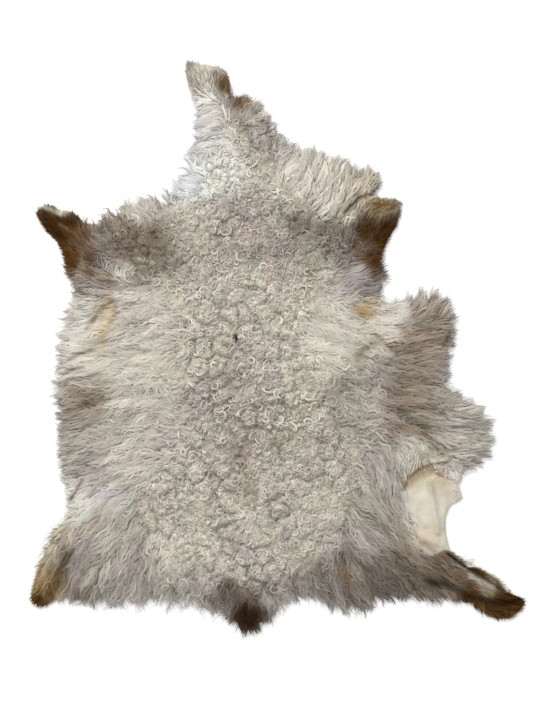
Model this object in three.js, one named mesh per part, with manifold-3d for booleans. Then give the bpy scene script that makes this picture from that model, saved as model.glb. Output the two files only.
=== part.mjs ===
// A whole curly lambskin lying flat, fleece up: one tanned skin with the wool that grows in it.
// Millimetres, +Z up. The origin is under the middle of the hide, on the surface that it lies on.
// +Y points to the neck, and the flesh side is the flat underside.

import * as THREE from 'three';
import { ConvexHull } from 'three/addons/math/ConvexHull.js';
import { ImprovedNoise } from 'three/addons/math/ImprovedNoise.js';
import { mergeVertices } from 'three/addons/utils/BufferGeometryUtils.js';
import Module from 'manifold-3d';

// Skin and fleece
const SKIN_THICKNESS = 2.2;
const RIM_SHARE = 0.38; // the pile's share of its full depth right at the cut edge
const RIM_WIDTH = 34; // how far in from the cut edge the pile reaches its full depth
const LEAST_PILE = 1.3; // short hair, also where the skin looks bare

// Clumps of curls: every third point of a triangular lattice is a crown, the others lie between crowns
const CLUMP_GRID = 15.5;
const CROWN_RISE = 0.14; // share of the pile that a crown stands above it, on average
const CROWN_SPREAD = 0.3; // how unequal the crowns are
const CROWN_SPREAD_LENGTH = 13; // distance over which the crowns differ
const CROWN_DIP = 0.08; // share that the points between crowns lie below it
const GRID_WANDER = 9; // how far a lattice point may stray
const SWELL_LENGTH = 95; // distance over which the fleece swells and sinks
const SWELL_SHARE = 0.16;
const GRID_WANDER_LENGTH = 11; // distance over which the lattice's points stray differently
const EDGE_STEP = 10.5; // spacing of the points along the cut edge
const EDGE_CLEARANCE = 8; // lattice points keep this far inside the edge

// Locks that hang out past the rim
const LOCK_SPACING = 17;
const LOCK_LEAST = 6; // wool shorter than this makes no lock of its own
const LOCK_ROOT_INSIDE = 9;
const LOCK_HALF_WIDTH = 9.5;
const LOCK_THICKNESS = 5.4;
const LOCK_MIDDLE = 0.6; // where along its length a lock bends
const LOCK_MIDDLE_SIZE = 0.68; // its section there, as a share of the root's
const LOCK_MIDDLE_SWAY = 0.4; // its sideways bend there, as a share of the tip's
const LOCK_SWAY = 0.3; // sideways bend, as a share of its length
const LOCK_UNEVENNESS = 0.45; // how much longer or shorter than its neighbours a lock may be
const LOCK_LIFT = 0.4; // a lock lies level, this far above the flesh side
const LOCK_TIP_HEIGHT = 1.1;
const LOCK_SECTION = [ // corners of the section: across in half widths, up in thicknesses
  { across: -1, up: 0 },
  { across: 1, up: 0 },
  { across: 0.6, up: 1 },
  { across: -0.6, up: 1 },
];
const LOCK_REACH_LENGTH = 11; // distance over which the locks' lengths differ
const LOCK_TURN_LENGTH = 13; // distance over which they bend to one side or the other
const COMBING_BLEND = 30; // a combing place rules alone within about this distance
const EDGE_SAMPLES = 12; // samples between two landmarks when the edge's length is measured

// Which layer of the noise each unevenness takes
const LAYER = { swell: 1, crown: 2, strayX: 3, strayY: 4, reach: 5, turn: 6 };

// The cut edge, clockwise from the end of the neck. wool is how far the locks reach past the edge there.
const CUT_EDGE = [
  { at: 'neck end, left corner', x: -155, y: 490, wool: 0 },
  { at: 'neck end, middle', x: -124, y: 484, wool: 0 },
  { at: 'neck end, right corner', x: -95, y: 479, wool: 0 },
  { at: 'neck end, right side', x: -83, y: 457, wool: 0 },
  { at: 'nape notch', x: -78, y: 428, wool: 3 },
  { at: 'nape tuft', x: -60, y: 432, wool: 6 },
  { at: 'nape', x: -37, y: 416, wool: 8 },
  { at: 'nape, middle', x: -20, y: 393, wool: 8 },
  { at: 'nape, foot', x: 3, y: 355, wool: 9 },

  { at: 'right shoulder, inner', x: 24, y: 328, wool: 25 },
  { at: 'right shoulder, top', x: 68, y: 314, wool: 24 },
  { at: 'right shoulder, outer', x: 114, y: 303, wool: 17 },
  { at: 'shoulder flap', x: 153, y: 296, wool: 12 },
  { at: 'shoulder flap, corner', x: 170, y: 299, wool: 3 },
  { at: 'shoulder flap, side', x: 170, y: 279, wool: 0 },
  { at: 'shoulder fold', x: 155, y: 262, wool: 0 },

  { at: 'right foreleg, inner side', x: 182, y: 257, wool: 0 },
  { at: 'right foreleg, end', x: 206, y: 253, wool: 0 },
  { at: 'right foreleg, heel', x: 204, y: 214, wool: 0 },
  { at: 'right foreleg, shank', x: 190, y: 190, wool: 0 },
  { at: 'right foreleg, root', x: 174, y: 146, wool: 4 },
  { at: 'right foreleg, tuft', x: 178, y: 130, wool: 6 },
  { at: 'right armpit', x: 171, y: 84, wool: 4 },

  { at: 'right wing, inner', x: 187, y: 75, wool: 2 },
  { at: 'right wing, top', x: 211, y: 73, wool: 12 },
  { at: 'right wing, crest', x: 238, y: 78, wool: 26 },
  { at: 'right wing, shoulder', x: 265, y: 80, wool: 20 },
  { at: 'right wing, corner', x: 287, y: 70, wool: 10 },
  { at: 'right wing, side', x: 292, y: 36, wool: 7 },
  { at: 'right flank, waist', x: 283, y: -1, wool: 9 },
  { at: 'right flank', x: 280, y: -66, wool: 9 },
  { at: 'flank lobe, top', x: 316, y: -96, wool: 14 },
  { at: 'flank lobe, shoulder', x: 345, y: -120, wool: 20 },
  { at: 'flank lobe, end', x: 349, y: -152, wool: 20 },
  { at: 'flank lobe, foot', x: 334, y: -190, wool: 16 },

  { at: 'bare groin, top', x: 317, y: -212, wool: 0 },
  { at: 'bare groin, scallop', x: 307, y: -236, wool: 0 },
  { at: 'bare groin, lobe', x: 314, y: -253, wool: 0 },
  { at: 'bare groin, waist', x: 290, y: -274, wool: 0 },
  { at: 'bare groin, middle', x: 286, y: -310, wool: 0 },
  { at: 'bare groin, foot', x: 300, y: -351, wool: 0 },

  { at: 'right hind leg, inner side', x: 349, y: -377, wool: 0 },
  { at: 'right hind leg, ankle', x: 379, y: -395, wool: 0 },
  { at: 'right hind leg, instep', x: 396, y: -416, wool: 0 },
  { at: 'right hind leg, end', x: 422, y: -432, wool: 0 },
  { at: 'right hind leg, toe', x: 394, y: -460, wool: 0 },
  { at: 'right hind leg, heel', x: 362, y: -456, wool: 0 },
  { at: 'right hind leg, root', x: 322, y: -428, wool: 2 },

  { at: 'right thigh', x: 292, y: -421, wool: 9 },
  { at: 'right rump, outer', x: 221, y: -411, wool: 15 },
  { at: 'right rump', x: 187, y: -411, wool: 17 },
  { at: 'right rump, lobe', x: 122, y: -429, wool: 26 },
  { at: 'right rump, dip', x: 58, y: -410, wool: 20 },
  { at: 'right of the tail', x: 7, y: -424, wool: 18 },

  { at: 'tail, right side', x: -26, y: -462, wool: 9 },
  { at: 'tail, tip', x: -51, y: -479, wool: 10 },
  { at: 'tail, left side', x: -76, y: -458, wool: 8 },

  { at: 'left of the tail', x: -109, y: -436, wool: 14 },
  { at: 'left rump', x: -173, y: -416, wool: 30 },
  { at: 'left rump, middle', x: -244, y: -416, wool: 24 },
  { at: 'left rump, outer', x: -316, y: -418, wool: 18 },
  { at: 'left hind leg, root', x: -372, y: -419, wool: 7 },

  { at: 'left hind leg, toe', x: -397, y: -439, wool: 0 },
  { at: 'left hind leg, end', x: -420, y: -431, wool: 0 },
  { at: 'left hind leg, heel', x: -418, y: -405, wool: 0 },
  { at: 'left hind leg, shank', x: -404, y: -365, wool: 0 },
  { at: 'left thigh', x: -379, y: -310, wool: 3 },
  { at: 'left groin', x: -357, y: -280, wool: 0 },

  { at: 'left flank, foot', x: -357, y: -240, wool: 5 },
  { at: 'left flank, low', x: -362, y: -180, wool: 8 },
  { at: 'left flank, middle', x: -360, y: -100, wool: 18 },
  { at: 'left flank, high', x: -358, y: -30, wool: 19 },
  { at: 'left flank, top', x: -350, y: 45, wool: 19 },
  { at: 'left armpit', x: -341, y: 96, wool: 7 },

  { at: 'left foreleg, root', x: -356, y: 128, wool: 3 },
  { at: 'left foreleg, shank', x: -375, y: 180, wool: 0 },
  { at: 'left foreleg, heel', x: -397, y: 204, wool: 0 },
  { at: 'left foreleg, end', x: -411, y: 237, wool: 0 },
  { at: 'left foreleg, toe', x: -388, y: 245, wool: 0 },
  { at: 'left foreleg, top', x: -366, y: 235, wool: 0 },
  { at: 'left foreleg, inner side', x: -349, y: 233, wool: 0 },
  { at: 'left foreleg, inner root', x: -322, y: 208, wool: 2 },

  { at: 'left shoulder, outer', x: -293, y: 211, wool: 14 },
  { at: 'left shoulder', x: -262, y: 232, wool: 22 },
  { at: 'left shoulder, inner', x: -205, y: 244, wool: 20 },

  { at: 'neck, left root', x: -166, y: 262, wool: 22 },
  { at: 'neck, left side', x: -141, y: 314, wool: 20 },
  { at: 'throat, low', x: -131, y: 370, wool: 10 },
  { at: 'throat', x: -138, y: 415, wool: 4 },
  { at: 'neck end, left side', x: -152, y: 447, wool: 0 },
];

// Depth of the pile above the skin, round each place
const PILE = [
  { at: 'back', x: -30, y: 20, reach: 120, depth: 18 },
  { at: 'withers', x: -40, y: 160, reach: 80, depth: 15 },
  { at: 'loin', x: -20, y: -150, reach: 110, depth: 19 },
  { at: 'rump', x: -40, y: -300, reach: 110, depth: 19 },
  { at: 'tail', x: -50, y: -455, reach: 32, depth: 11 },
  { at: 'neck, root', x: -70, y: 275, reach: 60, depth: 13 },
  { at: 'neck', x: -70, y: 380, reach: 55, depth: 10 },
  { at: 'neck, end', x: -128, y: 470, reach: 34, depth: 3 },
  { at: 'left shoulder', x: -210, y: 175, reach: 70, depth: 14 },
  { at: 'right shoulder', x: 70, y: 260, reach: 60, depth: 17 },
  { at: 'right shoulder, smoke', x: 110, y: 170, reach: 50, depth: 14 },
  { at: 'left belly', x: -220, y: 20, reach: 70, depth: 16 },
  { at: 'left flank', x: -325, y: -80, reach: 60, depth: 13 },
  { at: 'right belly', x: 110, y: 20, reach: 70, depth: 16 },
  { at: 'right wing', x: 245, y: 25, reach: 50, depth: 13 },
  { at: 'right flank', x: 210, y: -100, reach: 70, depth: 16 },
  { at: 'flank lobe', x: 315, y: -145, reach: 45, depth: 13 },
  { at: 'left rump', x: -240, y: -360, reach: 70, depth: 15 },
  { at: 'right rump', x: 140, y: -360, reach: 70, depth: 17 },
  { at: 'right thigh', x: 270, y: -395, reach: 36, depth: 9 },
  { at: 'bare groin, top', x: 270, y: -215, reach: 30, depth: 1.5 },
  { at: 'bare groin', x: 252, y: -270, reach: 34, depth: 1.3 },
  { at: 'bare groin, foot', x: 275, y: -325, reach: 28, depth: 1.5 },
  { at: 'right hind leg', x: 375, y: -428, reach: 44, depth: 4 },
  { at: 'left groin', x: -345, y: -262, reach: 26, depth: 4 },
  { at: 'left hind leg', x: -400, y: -405, reach: 40, depth: 5 },
  { at: 'left foreleg', x: -378, y: 215, reach: 46, depth: 4 },
  { at: 'left armpit', x: -335, y: 85, reach: 26, depth: 7 },
  { at: 'right foreleg', x: 186, y: 205, reach: 42, depth: 4.5 },
  { at: 'right armpit', x: 165, y: 62, reach: 24, depth: 7 },
];

// Creases sink into the pile, and folds of the bare skin stand up. rise is a share of the pile, or millimetres.
const CREASES = [
  { at: 'shoulder flap over the leg', from: [172, 278], to: [116, 232], width: 9, rise: -0.75 },
  { at: 'wing parting, inner', from: [136, -10], to: [177, 12], width: 11, rise: -0.35 },
  { at: 'wing parting, outer', from: [177, 12], to: [210, -6], width: 11, rise: -0.35 },
  { at: 'left armpit tuck', from: [-345, 84], to: [-288, 70], width: 10, rise: -0.5 },
  { at: 'left groin tuck', from: [-355, -252], to: [-322, -190], width: 10, rise: -0.5 },
  { at: 'groin wall', from: [205, -180], to: [214, -300], width: 10, rise: -0.3 },
];
const SKIN_FOLDS = [
  { at: 'groin fold, rising', from: [215, -240], to: [240, -203], width: 8, rise: 4.5 },
  { at: 'groin fold, across', from: [240, -203], to: [292, -192], width: 9, rise: 5.5 },
  { at: 'groin fold, falling', from: [264, -222], to: [278, -300], width: 7, rise: 3.5 },
  { at: 'groin scallop', from: [270, -221], to: [305, -226], width: 6, rise: 2.5 },
  { at: 'right hind leg, rolled side', from: [322, -368], to: [392, -408], width: 8, rise: 3 },
  { at: 'right foreleg, rolled side', from: [150, 252], to: [198, 246], width: 8, rise: 3 },
  { at: 'left foreleg, rolled side', from: [-392, 238], to: [-345, 226], width: 8, rise: 2.5 },
  { at: 'left hind leg, rolled side', from: [-412, -420], to: [-392, -350], width: 8, rise: 2.5 },
];

// The way the wool lies, in degrees from +X
const COMBING = [
  { at: 'nape', x: 0, y: 380, angle: 35 },
  { at: 'throat', x: -140, y: 360, angle: 185 },
  { at: 'right shoulder', x: 80, y: 300, angle: 72 },
  { at: 'left shoulder', x: -240, y: 220, angle: 125 },
  { at: 'right wing, crest', x: 245, y: 70, angle: 48 },
  { at: 'right flank', x: 290, y: -10, angle: -4 },
  { at: 'flank lobe', x: 345, y: -140, angle: -6 },
  { at: 'left flank, top', x: -350, y: 40, angle: 200 },
  { at: 'left flank, low', x: -360, y: -120, angle: 186 },
  { at: 'left rump', x: -230, y: -410, angle: -112 },
  { at: 'left rump, inner', x: -120, y: -430, angle: -96 },
  { at: 'tail', x: -50, y: -470, angle: -88 },
  { at: 'right rump', x: 120, y: -425, angle: -72 },
  { at: 'right thigh', x: 250, y: -410, angle: -58 },
];

const noise = new ImprovedNoise();
const smooth = (t) => t * t * (3 - 2 * t);
const clamp01 = (t) => Math.min(1, Math.max(0, t));

// Wandering value between about -1 and 1, the same on every run
function wander(x, y, length, layer) {
  return noise.noise(x / length, y / length, layer + 0.37);
}

function distanceToSegment(x, y, [ax, ay], [bx, by]) {
  const t = clamp01(((x - ax) * (bx - ax) + (y - ay) * (by - ay)) / ((bx - ax) ** 2 + (by - ay) ** 2));
  return Math.hypot(x - ax - t * (bx - ax), y - ay - t * (by - ay));
}

// The edge as one smooth closed line, with the wool's reach carried along as its third value
function edgeLine(spacing) {
  const landmarks = CUT_EDGE.map(({ x, y, wool }) => new THREE.Vector3(x, y, wool));
  const line = new THREE.CatmullRomCurve3(landmarks, true, 'centripetal');
  line.arcLengthDivisions = CUT_EDGE.length * EDGE_SAMPLES;
  const count = Math.round(line.getLength() / spacing);
  return line.getSpacedPoints(count).slice(0, count);
}

function isInside(x, y, edge) {
  let inside = false;
  for (let i = 0, j = edge.length - 1; i < edge.length; j = i++) {
    const a = edge[i];
    const b = edge[j];
    if (a.y > y !== b.y > y && x < ((b.x - a.x) * (y - a.y)) / (b.y - a.y) + a.x) inside = !inside;
  }
  return inside;
}

function distanceToEdge(x, y, edge) {
  let least = Infinity;
  for (let i = 0, j = edge.length - 1; i < edge.length; j = i++) {
    least = Math.min(least, distanceToSegment(x, y, [edge[i].x, edge[i].y], [edge[j].x, edge[j].y]));
  }
  return least;
}

function pileDepth(x, y) {
  let total = 0;
  let weights = 0;
  for (const place of PILE) {
    const weight = Math.exp(-((x - place.x) ** 2 + (y - place.y) ** 2) / place.reach ** 2);
    total += weight * place.depth;
    weights += weight;
  }
  return total / weights;
}

// Height of the fleece above the flesh side. crown is 1 on a clump's crown and 0 between clumps.
function topHeight(x, y, fromEdge, crown) {
  const rim = RIM_SHARE + (1 - RIM_SHARE) * smooth(clamp01(fromEdge / RIM_WIDTH));
  let share = 1 + SWELL_SHARE * wander(x, y, SWELL_LENGTH, LAYER.swell);
  const spread = CROWN_SPREAD * wander(x, y, CROWN_SPREAD_LENGTH, LAYER.crown);
  share += crown ? CROWN_RISE + spread : -CROWN_DIP;
  for (const { from, to, width, rise } of CREASES) {
    share *= 1 + rise * Math.exp(-((distanceToSegment(x, y, from, to) / width) ** 2));
  }
  let height = SKIN_THICKNESS + Math.max(LEAST_PILE, pileDepth(x, y) * rim * share);
  for (const { from, to, width, rise } of SKIN_FOLDS) {
    height += rise * Math.exp(-((distanceToSegment(x, y, from, to) / width) ** 2));
  }
  return height;
}

// Points over the hide: the cut edge first, then the lattice of crowns and the points between them
function hidePoints(edge) {
  const points = edge.map(({ x, y }) => ({ x, y, z: topHeight(x, y, 0, false) }));
  const box = new THREE.Box3().setFromPoints(edge);
  const rowHeight = CLUMP_GRID * Math.sqrt(0.75);
  const rows = Math.ceil((box.max.y - box.min.y) / rowHeight);
  const columns = Math.ceil((box.max.x - box.min.x) / CLUMP_GRID) + 1;
  for (let row = 0; row <= rows; row++) {
    for (let column = 0; column <= columns; column++) {
      const gridX = box.min.x + (column - (row % 2) / 2) * CLUMP_GRID;
      const gridY = box.min.y + row * rowHeight;
      const x = gridX + GRID_WANDER * wander(gridX, gridY, GRID_WANDER_LENGTH, LAYER.strayX);
      const y = gridY + GRID_WANDER * wander(gridX, gridY, GRID_WANDER_LENGTH, LAYER.strayY);
      if (!isInside(x, y, edge)) continue;
      const fromEdge = distanceToEdge(x, y, edge);
      if (fromEdge < EDGE_CLEARANCE) continue;
      const crown = (column + 2 * row - Math.ceil(row / 2)) % 3 === 0;
      points.push({ x, y, z: topHeight(x, y, fromEdge, crown) });
    }
  }
  return points;
}

// Delaunay triangles of the points, as the lower hull of the points lifted onto a paraboloid
function triangulate(points, edge) {
  const lifted = points.map(({ x, y }) => new THREE.Vector3(x, y, x * x + y * y));
  const index = new Map(lifted.map((point, i) => [point, i]));
  const triangles = [];
  for (const face of new ConvexHull().setFromPoints(lifted).faces) {
    if (face.normal.z >= 0) continue;
    const corners = [face.edge.prev, face.edge, face.edge.next].map((side) => index.get(side.head().point));
    const middle = corners.reduce((sum, i) => [sum[0] + points[i].x / 3, sum[1] + points[i].y / 3], [0, 0]);
    if (isInside(middle[0], middle[1], edge)) triangles.push(corners.reverse());
  }
  return triangles;
}

// The rim as a loop of point numbers: the sides that only one triangle uses
function rimLoop(triangles) {
  const next = new Map();
  for (const [a, b, c] of triangles) {
    for (const [from, to] of [[a, b], [b, c], [c, a]]) next.set(`${from},${to}`, [from, to]);
  }
  const follow = new Map();
  for (const [from, to] of next.values()) {
    if (!next.has(`${to},${from}`)) follow.set(from, to);
  }
  const start = follow.keys().next().value;
  const loop = [start];
  for (let at = follow.get(start); at !== start; at = follow.get(at)) loop.push(at);
  return loop;
}

// Skin and fleece as one closed slab: lumpy on top, flat below
function fleeceSlab(edge) {
  const points = hidePoints(edge);
  const triangles = triangulate(points, edge);
  const loop = rimLoop(triangles);
  const positions = points.flatMap(({ x, y, z }) => [x, y, z]);
  const floor = new Map(loop.map((i, order) => [i, points.length + order]));
  for (const i of loop) positions.push(points[i].x, points[i].y, 0);

  const faces = triangles.flat();
  loop.forEach((a, order) => {
    const b = loop[(order + 1) % loop.length];
    faces.push(b, a, floor.get(a), b, floor.get(a), floor.get(b));
  });
  const rim = loop.map((i) => new THREE.Vector2(points[i].x, points[i].y));
  for (const [a, b, c] of THREE.ShapeUtils.triangulateShape(rim, [])) {
    faces.push(floor.get(loop[c]), floor.get(loop[b]), floor.get(loop[a]));
  }
  return solidGeometry(positions, faces);
}

function solidGeometry(positions, faces) {
  const geometry = new THREE.BufferGeometry();
  geometry.setAttribute('position', new THREE.Float32BufferAttribute(positions, 3));
  geometry.setIndex(faces);
  return geometry;
}

function combedDirection(x, y) {
  const sum = new THREE.Vector2();
  for (const place of COMBING) {
    const weight = 1 / ((x - place.x) ** 2 + (y - place.y) ** 2 + COMBING_BLEND ** 2);
    const angle = THREE.MathUtils.degToRad(place.angle);
    sum.x += weight * Math.cos(angle);
    sum.y += weight * Math.sin(angle);
  }
  return sum.normalize();
}

// One tapered lock of four sides, bent once, lying level with its root inside the slab
function lockGeometry(root, outward, length, turn) {
  const side = new THREE.Vector2(-outward.y, outward.x);
  const tipSway = turn * LOCK_SWAY * length;
  const sections = [
    { along: -LOCK_ROOT_INSIDE, sway: 0, size: 1 },
    { along: LOCK_MIDDLE * length, sway: LOCK_MIDDLE_SWAY * tipSway, size: LOCK_MIDDLE_SIZE },
  ];
  const positions = [];
  for (const { along, sway, size } of sections) {
    for (const { across, up } of LOCK_SECTION) {
      const offset = sway + across * size * LOCK_HALF_WIDTH;
      positions.push(
        root.x + outward.x * along + side.x * offset,
        root.y + outward.y * along + side.y * offset,
        LOCK_LIFT + up * size * LOCK_THICKNESS,
      );
    }
  }
  positions.push(
    root.x + outward.x * length + side.x * tipSway,
    root.y + outward.y * length + side.y * tipSway,
    LOCK_TIP_HEIGHT,
  );
  const corners = LOCK_SECTION.length;
  const tip = 2 * corners;
  const faces = [0, 2, 1, 0, 3, 2];
  for (let i = 0; i < corners; i++) {
    const j = (i + 1) % corners;
    faces.push(i, j, j + corners, i, j + corners, i + corners);
    faces.push(i + corners, j + corners, tip);
  }
  return solidGeometry(positions, faces);
}

function rimLocks(edge) {
  const locks = [];
  let sinceLast = LOCK_SPACING;
  edge.forEach((here, i) => {
    const ahead = edge[(i + 1) % edge.length];
    sinceLast += Math.hypot(ahead.x - here.x, ahead.y - here.y);
    if (here.z < LOCK_LEAST || sinceLast < LOCK_SPACING) return;
    sinceLast = 0;
    const tangent = new THREE.Vector2(ahead.x - here.x, ahead.y - here.y).normalize();
    const normal = new THREE.Vector2(-tangent.y, tangent.x);
    const combed = combedDirection(here.x, here.y);
    const outward = normal.add(combed).normalize();
    const unevenness = LOCK_UNEVENNESS * wander(here.x, here.y, LOCK_REACH_LENGTH, LAYER.reach);
    const reach = here.z * (1 + unevenness);
    const turn = Math.sign(wander(here.x, here.y, LOCK_TURN_LENGTH, LAYER.turn));
    locks.push(lockGeometry(here, outward, reach, turn));
  });
  return locks;
}

function toManifold(wasm, geometry) {
  const welded = mergeVertices(geometry);
  return new wasm.Manifold(new wasm.Mesh({
    numProp: 3,
    vertProperties: new Float32Array(welded.attributes.position.array),
    triVerts: new Uint32Array(welded.index.array),
  }));
}

function fromManifold(solid) {
  const { vertProperties, triVerts } = solid.getMesh();
  return solidGeometry(Array.from(vertProperties), Array.from(triVerts));
}

async function lambskin() {
  const wasm = await Module();
  wasm.setup();
  const edge = edgeLine(EDGE_STEP);
  let hide = toManifold(wasm, fleeceSlab(edge));
  for (const lock of rimLocks(edgeLine(LOCK_SPACING / 3))) hide = hide.add(toManifold(wasm, lock));
  const geometry = fromManifold(hide);
  geometry.computeVertexNormals();
  const wool = new THREE.MeshStandardMaterial({ color: 0xc4beb2, roughness: 0.95, metalness: 0 });
  const mesh = new THREE.Mesh(geometry, wool);
  mesh.name = 'lambskin';
  return mesh;
}

const hide = new THREE.Group();
hide.add(await lambskin());
export default hide;
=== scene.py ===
"""A whole curly lambskin lying flat, fleece up: the tanned skin, its undercoat, its curls and its hair.

Metres, +Z up, +Y towards the neck. The tables of places are in millimetres.
"""

from __future__ import annotations
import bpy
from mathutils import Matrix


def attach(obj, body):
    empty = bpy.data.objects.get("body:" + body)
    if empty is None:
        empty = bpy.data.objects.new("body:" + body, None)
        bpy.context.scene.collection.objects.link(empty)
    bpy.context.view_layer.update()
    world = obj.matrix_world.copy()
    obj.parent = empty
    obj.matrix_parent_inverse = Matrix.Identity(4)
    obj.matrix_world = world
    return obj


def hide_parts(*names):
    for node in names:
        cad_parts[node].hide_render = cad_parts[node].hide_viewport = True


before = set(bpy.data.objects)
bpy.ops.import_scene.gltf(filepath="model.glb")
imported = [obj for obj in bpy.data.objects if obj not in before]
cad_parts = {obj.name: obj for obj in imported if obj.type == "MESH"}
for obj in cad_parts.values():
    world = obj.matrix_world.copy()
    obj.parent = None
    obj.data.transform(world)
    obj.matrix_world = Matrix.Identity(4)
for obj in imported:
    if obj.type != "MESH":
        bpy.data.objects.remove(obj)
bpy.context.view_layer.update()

import logging
import math
from dataclasses import dataclass, field
from enum import Enum

import bpy
import numpy as np
from mathutils import Vector
from mathutils.bvhtree import BVHTree
from mathutils.geometry import delaunay_2d_cdt
from mathutils.kdtree import KDTree

LOG = logging.getLogger("lambskin")
MM = 0.001
TAU = 2 * math.pi
TIP_HIGHLIGHT_GAIN = np.array((1.04, 1.07, 1.13))  # how much paler and cooler a lock's tip is painted than its place's tone: a painted highlight
DEEP_SHADE_GAIN = np.array((0.99, 0.98, 0.94))  # the same for the wool below the tips, painted darker and warmer as painted shade
BRIGHTEST = 0.93  # no tone is painted brighter than this
LATTICE = 128  # points along each side of the random grid that wander reads
ROW = math.sqrt(0.75)  # distance between the rows of a scatter, as a share of its spacing
TOUCHING = 1e-7  # points nearer than this, in metres, are one point
MOST_TRIANGLES = 190000  # combed wool with more of them is made in a left and a right piece


class Tone(Enum):
    """Natural colours of wool, hair and skin, as sRGB from 0 to 255."""

    WHITE = (214, 211, 204)
    PEARL = (201, 202, 201)
    IVORY = (206, 200, 185)
    CREAM = (195, 189, 177)
    DOVE = (178, 171, 161)
    LILAC = (163, 154, 151)
    TAUPE = (156, 149, 140)
    SMOKE = (114, 104, 95)
    FAWN = (174, 159, 134)
    STRAW = (186, 168, 128)
    OCHRE = (158, 124, 76)
    SEPIA = (128, 110, 92)
    TAN = (116, 86, 44)
    BARK = (86, 57, 22)
    UMBER = (48, 27, 6)
    SOOT = (27, 14, 7)

    def linear(self) -> np.ndarray:
        """The tone as linear red, green and blue."""
        value = np.array(self.value, float) / 255
        return np.where(value <= 0.04045, value / 12.92, ((value + 0.055) / 1.055) ** 2.4)


(WHITE, PEARL, IVORY, CREAM, DOVE, LILAC, TAUPE, SMOKE,
 FAWN, STRAW, OCHRE, SEPIA, TAN, BARK, UMBER, SOOT) = Tone


@dataclass(frozen=True)
class Place:
    """How the wool grows round one place of the hide, in millimetres and degrees from +X."""

    at: str
    x: float
    y: float
    reach: float
    comb: float
    curl: float
    length: float
    cover: float
    tone: Tone
    tip: Tone


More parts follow.
